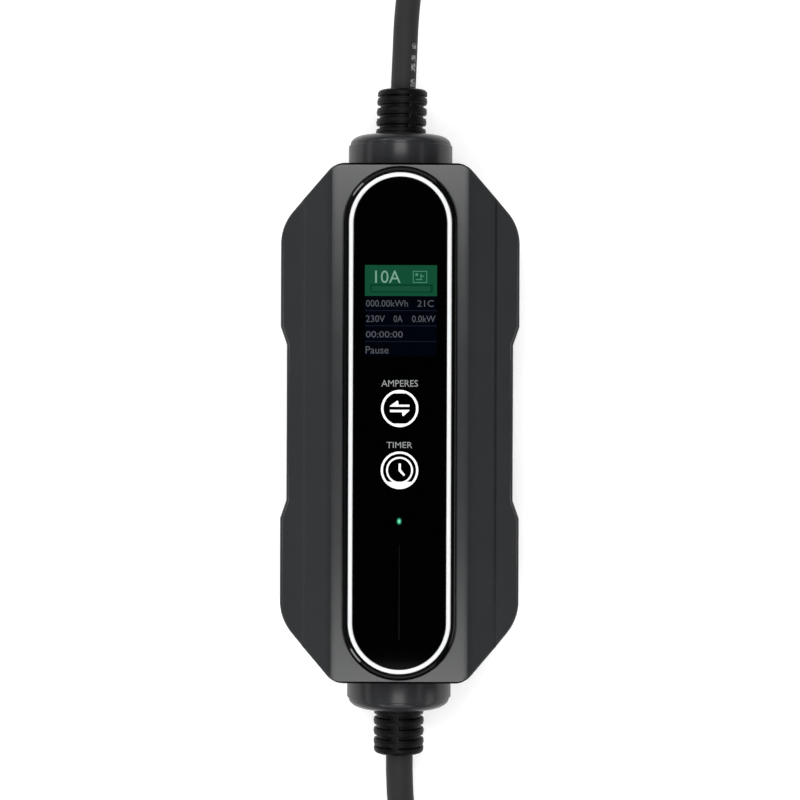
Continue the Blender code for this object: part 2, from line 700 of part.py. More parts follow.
def stake_holes(name):
    """Clearance holes round the stake pins."""
    top = BOX_DEPTH - FRONT_WALL
    holes = [
        cylinder("hole", STAKE_RADIUS + GAP, top - 3 * DISPLAY_THICKNESS, top,
                 Matrix.Translation((x, y, 0)), sides=8)
        for x, y in stake_places()
    ]
    return joined(name, holes)


def touch_controls(board, foam, lamp, clear):
    """The touch board, its two key pads, the status light and its light guide."""
    ceiling = BOX_DEPTH - FRONT_WALL - GAP
    below = ceiling - BOARD_THICKNESS
    low, high = touch_board_span()
    half = TOUCH_BOARD_WIDTH / 2
    plate = block("touch_board", (-half, low, below), (half, high, ceiling), board)
    cut(plate, stake_holes("touch_stake_holes"))
    pad_top = BOX_DEPTH - POCKET_DEPTH
    for name, y in (("key_pad_current", KEY_CURRENT_Y), ("key_pad_timer", KEY_TIMER_Y)):
        cylinder(name, KEY_PAD_RADIUS, ceiling + GAP, pad_top,
                 Matrix.Translation((0, y, 0)), foam, sides=20)
    light = LIGHT_GUIDE_RADIUS
    at = Matrix.Translation((0, STATUS_Y, 0))
    lamp_top = ceiling + light / 2
    block("status_light", (-light / 2, STATUS_Y - light / 2, ceiling + GAP),
          (light / 2, STATUS_Y + light / 2, lamp_top), lamp)
    cylinder("light_guide", light, lamp_top + GAP, pad_top, at, clear, sides=20)


def main_board(finish):
    """The main board with a hole for each of its screws."""
    half_width, half_length = MAIN_BOARD_WIDTH / 2, MAIN_BOARD_LENGTH / 2
    corners = [(half_width, half_length), (-half_width, half_length),
               (-half_width, -half_length), (half_width, -half_length)]
    outline = rounded(corners, [2 * MM] * 4, steps=3)
    board = prism("main_board", outline, MAIN_BOARD_Z, MAIN_BOARD_Z + BOARD_THICKNESS, UPRIGHT, finish)
    holes = [
        cylinder("hole", BOARD_SCREW_RADIUS + GAP, MAIN_BOARD_Z - WALL, MAIN_BOARD_Z + 2 * WALL,
                 Matrix.Translation((x, y, 0)), sides=8)
        for x, y in board_screw_places()
    ]
    cut(board, joined("main_board_holes", holes))


def board_screws(finish):
    """The four screws that hold the main board to its posts."""
    seat = MAIN_BOARD_Z + BOARD_THICKNESS + GAP
    tip = MAIN_BOARD_Z - BOARD_SCREW_BITE
    profile = [
        (0, seat + BOARD_SCREW_HEAD_HEIGHT),
        (BOARD_SCREW_HEAD_RADIUS * 0.6, seat + BOARD_SCREW_HEAD_HEIGHT),
        (BOARD_SCREW_HEAD_RADIUS, seat + BOARD_SCREW_HEAD_HEIGHT / 2), (BOARD_SCREW_HEAD_RADIUS, seat),
        (BOARD_SCREW_RADIUS, seat), (BOARD_SCREW_RADIUS, tip), (0, tip),
    ]
    for index, (x, y) in enumerate(board_screw_places(), 1):
        turned(f"board_screw_{index}", profile, Matrix.Translation((x, y, 0)), finish, sides=8)


def spread(sizes, room):
    """Middles of things laid side by side in a room about nought, with equal gaps."""
    gap = (room - sum(sizes)) / (len(sizes) + 1)
    middles, edge = [], -room / 2
    for size in sizes:
        edge += gap
        middles.append(edge + size / 2)
        edge += size
    return middles


def board_rows():
    """Y of each row on the main board, from the vehicle end to the mains end."""
    ribbon_row = 2 * RIBBON_BOW + RIBBON_THICKNESS
    sizes = (
        TERMINAL_DEPTH, ribbon_row, TRANSFORMER_SIZE[1], RELAY_SIZE[1], CHIP_SIZE[1], TERMINAL_DEPTH,
    )
    names = ("output", "ribbon", "transformer", "relays", "sensor", "input")
    return dict(zip(names, spread(sizes, MAIN_BOARD_LENGTH)))


def on_board(name, centre, size, finish):
    """A block that stands on the main board."""
    base = MAIN_BOARD_Z + BOARD_THICKNESS + GAP
    (x, y), (width, length, height) = centre, size
    return block(name, (x - width / 2, y - length / 2, base),
                 (x + width / 2, y + length / 2, base + height), finish)


def terminal(name, cores, sign, finish):
    """A terminal block at one end of the main board, with a screw well over each core."""
    width = cores * TERMINAL_PITCH + TERMINAL_MARGIN
    y = board_rows()["input" if sign > 0 else "output"]
    made = on_board(name, (0, y), (width, TERMINAL_DEPTH, TERMINAL_HEIGHT), finish)
    top = MAIN_BOARD_Z + BOARD_THICKNESS + GAP + TERMINAL_HEIGHT
    wells = [
        cylinder("well", TERMINAL_PITCH / 3, top - TERMINAL_HEIGHT / 2, top + WALL,
                 Matrix.Translation(((i - (cores - 1) / 2) * TERMINAL_PITCH, y, 0)), sides=8)
        for i in range(cores)
    ]
    cut(made, joined(name + "_wells", wells))
    return y + sign * TERMINAL_DEPTH / 2


def board_parts(finishes):
    """The relays, supply, leakage sensor and small parts on the main board."""
    rows = board_rows()
    base = MAIN_BOARD_Z + BOARD_THICKNESS + GAP
    live_x, neutral_x, small_x = spread(
        (RELAY_SIZE[0], RELAY_SIZE[0], 2 * FUSE_RADIUS), MAIN_BOARD_WIDTH
    )
    on_board("relay_live", (live_x, rows["relays"]), RELAY_SIZE, finishes["relay"])
    on_board("relay_neutral", (neutral_x, rows["relays"]), RELAY_SIZE, finishes["relay"])
    fuse_y, varistor_y = spread((FUSE_LENGTH, 2 * VARISTOR_RADIUS), RELAY_SIZE[1])
    cylinder("fuse", FUSE_RADIUS, -FUSE_LENGTH / 2, FUSE_LENGTH / 2,
             frame_along((small_x, rows["relays"] - fuse_y, base + FUSE_RADIUS), (0, 1, 0)),
             finishes["ceramic"], sides=12)
    cylinder("varistor", VARISTOR_RADIUS, -VARISTOR_THICKNESS / 2, VARISTOR_THICKNESS / 2,
             frame_along((small_x, rows["relays"] - varistor_y, base + VARISTOR_RADIUS), (1, 0, 0)),
             finishes["disc"], sides=16)

    width, length, height = TRANSFORMER_SIZE
    transformer_x, can_x = spread((width, 2 * CAPACITOR_RADIUS), MAIN_BOARD_WIDTH)
    y = rows["transformer"]
    transformer = on_board("transformer", (transformer_x, y), TRANSFORMER_SIZE, finishes["winding"])
    core_top = base + height
    notch = block(
        "transformer_notch",
        (transformer_x - width / 4, y - length, core_top - height / 3),
        (transformer_x + width / 4, y + length, core_top + WALL),
    )
    cut(transformer, notch)
    capacitor = [
        (0, base), (CAPACITOR_RADIUS, base), (CAPACITOR_RADIUS, base + CAPACITOR_HEIGHT - GAP),
        (CAPACITOR_RADIUS - GAP, base + CAPACITOR_HEIGHT), (0, base + CAPACITOR_HEIGHT),
    ]
    for index, beside in enumerate(spread((2 * CAPACITOR_RADIUS, 2 * CAPACITOR_RADIUS), length), 1):
        turned(f"capacitor_{index}", capacitor, Matrix.Translation((can_x, y - beside, 0)),
               finishes["can"], sides=16)

    sensor_x, chip_x = spread((2 * CORE_RADIUS, CHIP_SIZE[0]), MAIN_BOARD_WIDTH)
    profile = [
        (CORE_BORE_RADIUS, -CORE_THICKNESS / 2), (CORE_RADIUS, -CORE_THICKNESS / 2),
        (CORE_RADIUS, CORE_THICKNESS / 2), (CORE_BORE_RADIUS, CORE_THICKNESS / 2),
    ]
    frame = frame_along((sensor_x, rows["sensor"], base + CORE_RADIUS), (0, 1, 0))
    turned("leakage_sensor", profile, frame, finishes["winding"], sides=24)
    on_board("controller_chip", (chip_x, rows["sensor"]), CHIP_SIZE, finishes["chip"])


def ribbon(finish):
    """The flat cable from the touch board down to the main board."""
    top = BOX_DEPTH - FRONT_WALL - 2 * GAP - BOARD_THICKNESS
    bottom = MAIN_BOARD_Z + BOARD_THICKNESS + GAP
    low, _ = touch_board_span()
    first, last = low + TOUCH_BOARD_MARGIN / 2, board_rows()["ribbon"]
    steps = 10
    near, far = [], []
    for k in range(steps + 1):
        share = k / steps
        y = first + (last - first) * share - RIBBON_BOW * math.sin(2 * math.pi * share)
        height = top + (bottom - top) * share
        near.append((y - RIBBON_THICKNESS / 2, height))
        far.append((y + RIBBON_THICKNESS / 2, height))
    outline = [(b, h) for b, h in near + far[::-1]]
    half = RIBBON_WIDTH / 2
    rings = [[(x, b, h) for b, h in outline] for x in (-half, half)]
    loft("ribbon_cable", rings, UPRIGHT, finish)


def cap_profile():
    """Half section of an end cap: flange inside the wall, neck in it, drum and shoulder outside."""
    inner = -WALL - GAP
    bore = BOOT_RADIUS + GAP
    profile = [
        (bore, inner - CAP_FLANGE_THICKNESS), (CAP_FLANGE_RADIUS, inner - CAP_FLANGE_THICKNESS),
        (CAP_FLANGE_RADIUS, inner), (CAP_NECK_RADIUS, inner), (CAP_NECK_RADIUS, GAP),
        (CAP_RADIUS, GAP),
    ]
    shoulder = CAP_LENGTH - CAP_SHOULDER_AXIAL
    profile += [
        (CAP_RADIUS, shoulder - CAP_GROOVE), (CAP_RADIUS - CAP_GROOVE, shoulder - CAP_GROOVE),
        (CAP_RADIUS - CAP_GROOVE, shoulder),
    ]
    for k in range(1, 4):
        angle = math.pi / 2 * k / 3
        profile.append(
            (
                CAP_RADIUS - CAP_GROOVE - CAP_SHOULDER_RADIAL * (1 - math.cos(angle)),
                shoulder + CAP_SHOULDER_AXIAL * math.sin(angle),
            )
        )
    profile.append((bore, CAP_LENGTH))
    return profile


def boot_profile():
    """Half section of a rubber boot: flange inside the cap, then core and ribs, solid inside."""
    inner = -WALL - 2 * GAP - CAP_FLANGE_THICKNESS
    start = inner - BOOT_FLANGE_THICKNESS
    profile = [(0, start), (BOOT_FLANGE_RADIUS, start), (BOOT_FLANGE_RADIUS, inner), (BOOT_RADIUS, inner)]
    end = CAP_LENGTH + BOOT_LENGTH
    slot = CAP_LENGTH + BOOT_RIB_PITCH - BOOT_SLOT_WIDTH
    while slot + BOOT_RIB_PITCH < end:
        profile += [
            (BOOT_RADIUS, slot), (BOOT_CORE_RADIUS, slot),
            (BOOT_CORE_RADIUS, slot + BOOT_SLOT_WIDTH), (BOOT_RADIUS, slot + BOOT_SLOT_WIDTH),
        ]
        slot += BOOT_RIB_PITCH
    corner = (BOOT_RADIUS - BOOT_CORE_RADIUS) / 2
    profile += [(BOOT_RADIUS, end - corner), (BOOT_RADIUS - corner, end), (0, end)]
    return profile


def boot(name, frame, finish):
    """A slotted boot: ribs all round, joined by a spine in front and behind."""
    made = turned(name, boot_profile(), frame, finish, sides=12)
    end = CAP_LENGTH + BOOT_LENGTH
    outer = BOOT_RADIUS - GAP
    outline = [(-BOOT_SPINE_WIDTH / 2, -outer), (BOOT_SPINE_WIDTH / 2, -outer),
               (BOOT_SPINE_WIDTH / 2, outer), (-BOOT_SPINE_WIDTH / 2, outer)]
    low = CAP_LENGTH + GAP
    spine = prism(name + "_spine", outline, low, end - BOOT_SLOT_WIDTH, frame)
    cut(made, spine, "UNION")
    return made


def lean(item, start, rate):
    """Leans what lies beyond start along Y sideways, as a lead pulls its boot."""
    for vertex in item.data.vertices:
        beyond = max(0.0, vertex.co.y - start)
        vertex.co.x += rate * beyond


def ends(hard, rubber):
    """The cap and boot at each end of the box."""
    for name, sign in (("mains", 1), ("vehicle", -1)):
        frame = frame_along((0, sign * BOX_LENGTH / 2, LEAD_AXIS_Z), (0, sign, 0))
        turned(f"{name}_end_cap", cap_profile(), frame, hard, sides=20)
        made = boot(f"{name}_boot", frame, rubber)
        if sign > 0:
            start = BOX_LENGTH / 2 + CAP_LENGTH
            lean(made, start, MAINS_BOOT_LEAN)
            lean(bpy.data.objects["mains_boot_spine"], start, MAINS_BOOT_LEAN)


def smooth_route(points, spacing):
    """Points at even spacing on a smooth curve (Catmull-Rom) through the given ones."""
    given = np.array(points, float)
    padded = np.vstack([2 * given[0] - given[1], given, 2 * given[-1] - given[-2]])
    fine = []
    for i in range(1, len(padded) - 2):
        a, b, c, d = padded[i - 1 : i + 3]
        for t in np.linspace(0, 1, 24, endpoint=False):
            fine.append(
                0.5 * (2 * b + (c - a) * t + (2 * a - 5 * b + 4 * c - d) * t**2
                       + (3 * b - a - 3 * c + d) * t**3)
            )
    fine.append(given[-1])
    fine = np.array(fine)
    run = np.concatenate([[0], np.cumsum(np.linalg.norm(np.diff(fine, axis=0), axis=1))])
    count = max(2, round(run[-1] / spacing) + 1)
    at = np.linspace(0, run[-1], count)
    return [Vector([float(np.interp(s, run, fine[:, k])) for k in range(3)]) for s in at]


def tube(name, points, headings, radius, finish, resolution=2):
    """A round tube along points: a curve with a bevel and filled ends.

    A stub one radius long, along the heading at each end, cuts the ends square.
    """
    first, last = points[0], points[-1]
    points = [first, first + radius * Vector(headings[0]), *points[1:-1],
              last - radius * Vector(headings[1]), last]
    curve = bpy.data.curves.new(name, "CURVE")
    curve.dimensions = "3D"
    curve.bevel_depth = radius
    curve.bevel_resolution = resolution
    curve.use_fill_caps = True
    spline = curve.splines.new("POLY")
    spline.points.add(len(points) - 1)
    for point, place in zip(spline.points, points):
        point.co = (*place, 1)
    curve.materials.append(finish)
    item = bpy.data.objects.new(name, curve)
    bpy.context.scene.collection.objects.link(item)
    return item


def cable_tail(name, sign, cores, terminal_face, finish):
    """The lead's end inside the box: a short piece of jacket and the cores to the terminals."""
    boot_face = BOX_LENGTH / 2 - WALL - 3 * GAP - CAP_FLANGE_THICKNESS - BOOT_FLANGE_THICKNESS
    jacket = BOOT_FLANGE_THICKNESS
    start = Vector((0, sign * boot_face, LEAD_AXIS_Z))
    tail = cylinder(name, CORE_WIRE_SPREAD + 1.2 * CORE_WIRE_RADIUS, 0, jacket,
                    frame_along(start, (0, -sign, 0)), finish, sides=16)
    end_z = MAIN_BOARD_Z + BOARD_THICKNESS + GAP + TERMINAL_HEIGHT / 3
    end_y = terminal_face + sign * GAP
    for i in range(cores):
        share = i - (cores - 1) / 2
        turn = 2 * math.pi * i / cores + math.pi / 2
        root = start + Vector((CORE_WIRE_SPREAD * math.cos(turn), -sign * jacket / 2,
                               CORE_WIRE_SPREAD * math.sin(turn)))
        end = Vector((share * TERMINAL_PITCH, end_y, end_z))
        rings = []
        for k in range(6):
            s = k / 5
            ease = s * s * (3 - 2 * s)
            centre = Vector((root.x + (end.x - root.x) * ease, root.y + (end.y - root.y) * s,
                             root.z + (end.z - root.z) * ease))
            rings.append([
                (centre.x + CORE_WIRE_RADIUS * math.cos(2 * math.pi * j / 6), centre.y,
                 centre.z + CORE_WIRE_RADIUS * math.sin(2 * math.pi * j / 6))
                for j in range(6)
            ])
        core = loft(f"{name}_core_{i}", rings, UPRIGHT, None)
        cut(tail, core, "UNION")


def hank_sides():
    """Half width of the wound hank and of the long opening in it, to the lead's outside."""
    outer = HANK_TURN_RADIUS + VEHICLE_LEAD_RADIUS
    inner = HANK_TURN_RADIUS - (HANK_COLUMNS - 1) * HANK_PITCH - VEHICLE_LEAD_RADIUS
    return outer, inner


def hank_floor():
    """Lowest height of the wound turns: the ties pass under them."""
    return TIE_THICKNESS + GAP


def hank_top():
    """Highest height of the wound turns."""
    return hank_floor() + 2 * VEHICLE_LEAD_RADIUS + (HANK_LAYERS - 1) * HANK_PITCH


def hank(finish):
    """The wound vehicle lead's outer shape: a long ring with half-round ends, edges eased."""
    outer, inner = hank_sides()
    low, high = hank_floor(), hank_top()
    soft = VEHICLE_LEAD_RADIUS * 0.6
    width = outer - inner
    middle_y = HANK_NEAR_Y - HANK_STRAIGHT / 2

    def outline(inset):
        ring = stadium(outer, outer + HANK_STRAIGHT / 2, inset)
        return [(HANK_X + x, middle_y + y) for x, y in ring]

    ring_between("vehicle_coil", [
        (outline(soft), low), (outline(0), low + soft), (outline(0), high - soft),
        (outline(soft), high), (outline(width - soft), high), (outline(width), high - soft),
        (outline(width), low + soft), (outline(width - soft), low),
    ], finish)


def ties(finish):
    """Hook-and-loop ties, one wrapped round each long side of the hank."""
    outer, inner = hank_sides()
    middle, half = (outer + inner) / 2, (outer - inner) / 2 + GAP
    low, high = hank_floor() - GAP, hank_top() + GAP
    grow = TIE_THICKNESS
    for index, sign in ((1, 1), (2, -1)):
        frame = Matrix.Translation(
            (HANK_X + sign * middle, HANK_NEAR_Y - HANK_STRAIGHT / 2, 0)
        ) @ ALONG_Y
        corners = [(-half, low), (half, low), (half, high), (-half, high)]
        hole = rounded(corners, [TIE_CORNER - TIE_THICKNESS] * 4, steps=3)
        wide = rounded(corners, [TIE_CORNER - TIE_THICKNESS] * 4, inset=-grow, steps=3)
        band = prism(f"vehicle_tie_{index}", wide, -TIE_WIDTH / 2, TIE_WIDTH / 2, frame, finish)
        hollow = prism(f"vehicle_tie_{index}_hole", hole, -TIE_WIDTH, TIE_WIDTH, frame)
        cut(band, hollow)


def ribbed(start_radius, end_radius, length, ribs, depth):
    """Profile points of a tapered relief with ribs, from its tip at nought to its root."""
    points = []
    for k in range(ribs):
        low, high = length * k / ribs, length * (k + 0.62) / ribs
        for height, sunk in ((low, 0), (high, 0), (high, depth), (length * (k + 1) / ribs, depth)):
            radius = start_radius + (end_radius - start_radius) * height / length - sunk
            points.append((radius, height))
    return points


def mains_plug(rubber, metal):
    """The round two-pin plug with side earth contacts, lying on its side."""
    frame = frame_along(PLUG_START, (0, 1, 0), up=(1, 0, 0))
    tip = PLUG_BOOT_LENGTH
    tip_radius = MAINS_LEAD_RADIUS + 2 * MM
    profile = [(0, 0)] + ribbed(tip_radius, PLUG_BOOT_RADIUS, tip - GAP, 4, 1.1 * MM)
    profile.append((0, tip - GAP))
    turned("plug_boot", profile, frame, rubber, sides=12)
    shoulder = tip + PLUG_TAPER_LENGTH
    face = tip + PLUG_BODY_LENGTH
    lip = PLUG_GRIP_DEPTH
    body = turned("plug_body", [
        (0, tip), (PLUG_NECK_RADIUS, tip), (PLUG_RADIUS - lip, shoulder - lip),
        (PLUG_RADIUS - lip / 2, shoulder), (PLUG_RADIUS, shoulder + lip),
        (PLUG_RADIUS, face - lip / 2), (PLUG_RADIUS - lip / 2, face), (0, face),
    ], frame, rubber, sides=26)
    pins = []
    for name, sign in (("plug_pin_live", 1), ("plug_pin_neutral", -1)):
        at = frame @ Matrix.Translation((sign * PIN_SPACING / 2, 0, 0))
        turned(name, [
            (0, face - PIN_ROOT), (PIN_RADIUS, face - PIN_ROOT),
            (PIN_RADIUS, face + PIN_LENGTH - PIN_RADIUS), (PIN_RADIUS / 2, face + PIN_LENGTH),
            (0, face + PIN_LENGTH),
        ], at, metal, sides=16)
        pins.append(
            cylinder("hole", PIN_RADIUS + GAP, face - PIN_ROOT - GAP, face + PIN_ROOT, at, sides=16)
        )
    at = frame @ Matrix.Translation((0, EARTH_HOLE_OFFSET, 0))
    pins.append(cylinder("hole", EARTH_HOLE_RADIUS, face - 2 * PIN_ROOT, face + PIN_ROOT, at, sides=16))
    cut(body, joined("plug_holes", pins))
    slots = []
    half = EARTH_CLIP_WIDTH / 2
    depth = EARTH_CLIP_THICKNESS
    for index, sign in ((1, 1), (2, -1)):
        seat = sign * (PLUG_RADIUS - 2 * depth)
        edge = sorted((seat, seat + sign * depth))
        outline = [(-half, edge[0]), (half, edge[0]), (half, edge[1]), (-half, edge[1])]
        prism(f"plug_earth_clip_{index}", outline, shoulder + lip, face - depth, frame, metal)
        cutter = sorted((seat - sign * GAP, sign * (PLUG_RADIUS + WALL)))
        outline = [(-half - GAP, cutter[0]), (half + GAP, cutter[0]),
                   (half + GAP, cutter[1]), (-half - GAP, cutter[1])]
        slots.append(prism("slot", outline, shoulder + lip - GAP, face + WALL, frame))
    cut(body, joined("plug_slots", slots))


def superellipse(half_x, half_y, height, power=2.3, count=24):
    """A closed ring of points on |x/a|^n + |y/b|^n = 1 at one height."""
    ring = []
    for i in range(count):
        angle = 2 * math.pi * i / count
        c, s = math.cos(angle), math.sin(angle)
        ring.append((
            half_x * math.copysign(abs(c) ** (2 / power), c),
            half_y * math.copysign(abs(s) ** (2 / power), s),
            height,
        ))
    return ring


def handle_stations():
    """The handle's half width and half height along it, swelling into the nose."""
    start = CONNECTOR_BOOT_LENGTH + GAP
    swell = NOSE_RADIUS - HANDLE_GRIP_HALF
    return [
        (start, HANDLE_REAR_HALF - 1.5 * MM, HANDLE_REAR_HALF - 1.5 * MM),
        (start + 2 * MM, HANDLE_REAR_HALF, HANDLE_REAR_HALF),
        (start + 0.25 * HANDLE_LENGTH, HANDLE_GRIP_HALF - 0.5 * MM, HANDLE_GRIP_HALF),
        (start + 0.48 * HANDLE_LENGTH, HANDLE_GRIP_HALF, HANDLE_GRIP_HALF + 1.5 * MM),
        (start + 0.62 * HANDLE_LENGTH, HANDLE_GRIP_HALF + 0.16 * swell, HANDLE_GRIP_HALF + 0.3 * swell),
        (start + 0.76 * HANDLE_LENGTH, HANDLE_GRIP_HALF + 0.55 * swell, HANDLE_GRIP_HALF + 0.62 * swell),
        (start + 0.9 * HANDLE_LENGTH, HANDLE_GRIP_HALF + 0.9 * swell, HANDLE_GRIP_HALF + 0.92 * swell),
        (start + HANDLE_LENGTH - GAP, NOSE_RADIUS - 0.6 * MM, NOSE_RADIUS - 0.6 * MM),
    ]


def loop_middle():
    """Middle of the loop that swings the lead from the hank's top into the connector."""
    inner_turn = HANK_TURN_RADIUS - (HANK_COLUMNS - 1) * HANK_PITCH
    return HANK_X - inner_turn + LOOP_RADIUS, HANK_NEAR_Y + LOOP_MIDDLE


def connector_frame():
    """The connector's frame: it lies along the hank, its Z towards its nose."""
    turn = math.radians(CONNECTOR_HEADING)
    heading = (math.sin(turn), -math.cos(turn), 0)
    height = hank_top() + TIE_THICKNESS + 3 * GAP + NOSE_RADIUS
    x, y = loop_middle()
    place = (x + LOOP_RADIUS * math.cos(turn), y + LOOP_RADIUS * math.sin(turn), height)
    return frame_along(place, heading)


def d_outline(radius, flat, steps=20):
    """A circle with its top cut off by a flat."""
    start = math.asin(flat / radius)
    span = math.pi + 2 * start
    first = math.pi - start
    return [
        (radius * math.cos(first + span * k / steps), radius * math.sin(first + span * k / steps))
        for k in range(steps + 1)
    ]


def contact_places():
    """The seven contacts as (x, y, tower radius, bore): three across, two below, two signals."""
    power = [(-CONTACT_PITCH, 0), (0, 0), (CONTACT_PITCH, 0),
             (-CONTACT_PITCH / 2, -CONTACT_ROW), (CONTACT_PITCH / 2, -CONTACT_ROW)]
    signal = [(-SIGNAL_HALF_PITCH, SIGNAL_ROW), (SIGNAL_HALF_PITCH, SIGNAL_ROW)]
    return [(x, y, TOWER_RADIUS, CONTACT_BORE) for x, y in power] + [
        (x, y, SIGNAL_TOWER_RADIUS, SIGNAL_BORE) for x, y in signal
    ]


def vehicle_connector(black, grey, rubber):
    """The connector for the car: boot, two handle shells, shrouded nose and contact insert."""
    frame = connector_frame()
    root = CONNECTOR_BOOT_LENGTH
    profile = [(0, 0)]
    profile += ribbed(CONNECTOR_BOOT_TIP_RADIUS, CONNECTOR_BOOT_RADIUS, root, 4, 1.3 * MM)
    neck = HANDLE_WALL + GAP
    plug_radius = HANDLE_REAR_HALF - 2 * HANDLE_WALL
    profile += [
        (plug_radius, root), (plug_radius, root + 2 * neck), (0, root + 2 * neck),
    ]
    turned("connector_boot", profile, frame, rubber, sides=12)

    stations = handle_stations()
    rings = [superellipse(a, b, t) for t, a, b in stations]
    inner = [superellipse(a - HANDLE_WALL, b - HANDLE_WALL, t) for t, a, b in stations[1:]]
    deep = stations[1][0] + 2 * HANDLE_WALL
    inner[0] = [(x, y, deep) for x, y, _ in inner[0]]
    inner[-1] = [(x, y, z + HANDLE_WALL) for x, y, z in inner[-1]]
    reach = 2 * NOSE_RADIUS
    for name, sign in (("handle_shell_left", -1), ("handle_shell_right", 1)):
        shell = loft(name, rings, frame, black, smooth=True)
        cut(shell, loft(name + "_hollow", inner, frame, None))
        entry = cylinder(name + "_entry", plug_radius + GAP, root - HANDLE_WALL,
                         deep + HANDLE_WALL, frame)
        cut(shell, entry)
        edge = sorted((sign * GAP / 2, -sign * reach))
        outline = [(edge[0], -reach), (edge[1], -reach), (edge[1], reach), (edge[0], reach)]
        cut(shell, prism(name + "_split", outline, -reach, 10 * reach, frame))

    start = CONNECTOR_BOOT_LENGTH + HANDLE_LENGTH + GAP
    rim = start + NOSE_LENGTH
    lip = NOSE_WALL / 3
    levels = ((start + GAP, 0), (rim - lip, 0), (rim, lip))
    rings = [[(x, y, t) for x, y in d_outline(NOSE_RADIUS - s, NOSE_FLAT - s)] for t, s in levels]
    nose = loft("connector_nose", rings, frame, black, smooth=True)
    collar = turned("nose_collar", [
        (0, start), (NOSE_RADIUS - lip, start), (NOSE_RADIUS, start + lip),
        (NOSE_RADIUS, start + NOSE_COLLAR),
        (0, start + NOSE_COLLAR),
    ], frame, sides=20)
    cut(nose, collar, "UNION")
    mouth = d_outline(NOSE_RADIUS - NOSE_WALL, NOSE_FLAT - NOSE_WALL)
    cut(nose, prism("nose_mouth", mouth, rim - SOCKET_DEPTH, rim + WALL, frame))
    back_end = rim - SOCKET_DEPTH - NOSE_FLOOR / 2
    opening = cylinder("nose_back", NOSE_RADIUS - 2 * NOSE_WALL, start - WALL, back_end, frame,
                       sides=16)
    cut(nose, opening)

    floor = rim - SOCKET_DEPTH + GAP
    base = d_outline(NOSE_RADIUS - NOSE_WALL - GAP, NOSE_FLAT - NOSE_WALL - GAP)
    insert = prism("contact_insert", base, floor, floor + NOSE_FLOOR / 2, frame, grey)
    towers, bores = [], []
    for x, y, radius, bore in contact_places():
        at = frame @ Matrix.Translation((x, y, 0))
        towers.append(cylinder("tower", radius, floor + GAP, rim - TOWER_SHORT, at, sides=12))
        bores.append(cylinder("bore", bore, floor + NOSE_FLOOR, rim + WALL, at, sides=8))
    cut(insert, joined("contact_towers", towers), "UNION")
    cut(insert, joined("contact_bores", bores))
    return frame


def lead_end_route():
    """The vehicle lead from the top of the hank, round a loop and up into its boot.

    It runs straight on from the inner turn, then swings clockwise round the loop to the
    connector's heading. Its height follows an easing curve 3 s^2 - 2 s^3 of its length.
    """
    x, y = loop_middle()
    low = hank_top() + VEHICLE_LEAD_RADIUS + 2 * GAP
    high = connector_frame().translation.z
    straight = LOOP_MIDDLE - LOOP_RISE_START
    swing = math.pi - math.radians(CONNECTOR_HEADING)
    total = straight + LOOP_RADIUS * swing
    flat_end = 2 * VEHICLE_LEAD_RADIUS
    points = []

    def height(run):
        share = min(1, run / (total - flat_end))
        return low + (high - low) * share * share * (3 - 2 * share)

    for k in range(3):
        run = straight * k / 3
        points.append((x - LOOP_RADIUS, y - straight + run, height(run)))
    steps = 14
    for k in range(steps + 1):
        angle = swing * k / steps
        run = straight + LOOP_RADIUS * angle
        spot = (x - LOOP_RADIUS * math.cos(angle), y + LOOP_RADIUS * math.sin(angle))
        points.append((*spot, height(run)))
    heading = connector_frame().to_3x3() @ Vector((0, 0, 1))
    points[-1] = tuple(Vector(points[-1]) - GAP * heading)
    return points


def leads(mains, vehicle):
    """Both leads, where they aren't wound up, and the hank of the vehicle lead."""
    outwards, back = (0, 1, 0), (0, -1, 0)
    route = smooth_route([[c * MM for c in p] for p in MAINS_ROUTE], 5 * MAINS_LEAD_RADIUS)
    tube("mains_lead", route, (outwards, outwards), MAINS_LEAD_RADIUS, mains)
    route = smooth_route([[c * MM for c in p] for p in VEHICLE_ROUTE], 4 * VEHICLE_LEAD_RADIUS)
    tube("vehicle_lead", route, (back, back), VEHICLE_LEAD_RADIUS, vehicle)
    hank(vehicle)
    heading = connector_frame().to_3x3() @ Vector((0, 0, 1))
    route = smooth_route(lead_end_route(), 4 * VEHICLE_LEAD_RADIUS)
    tube("vehicle_lead_end", route, (outwards, heading), VEHICLE_LEAD_RADIUS, vehicle)


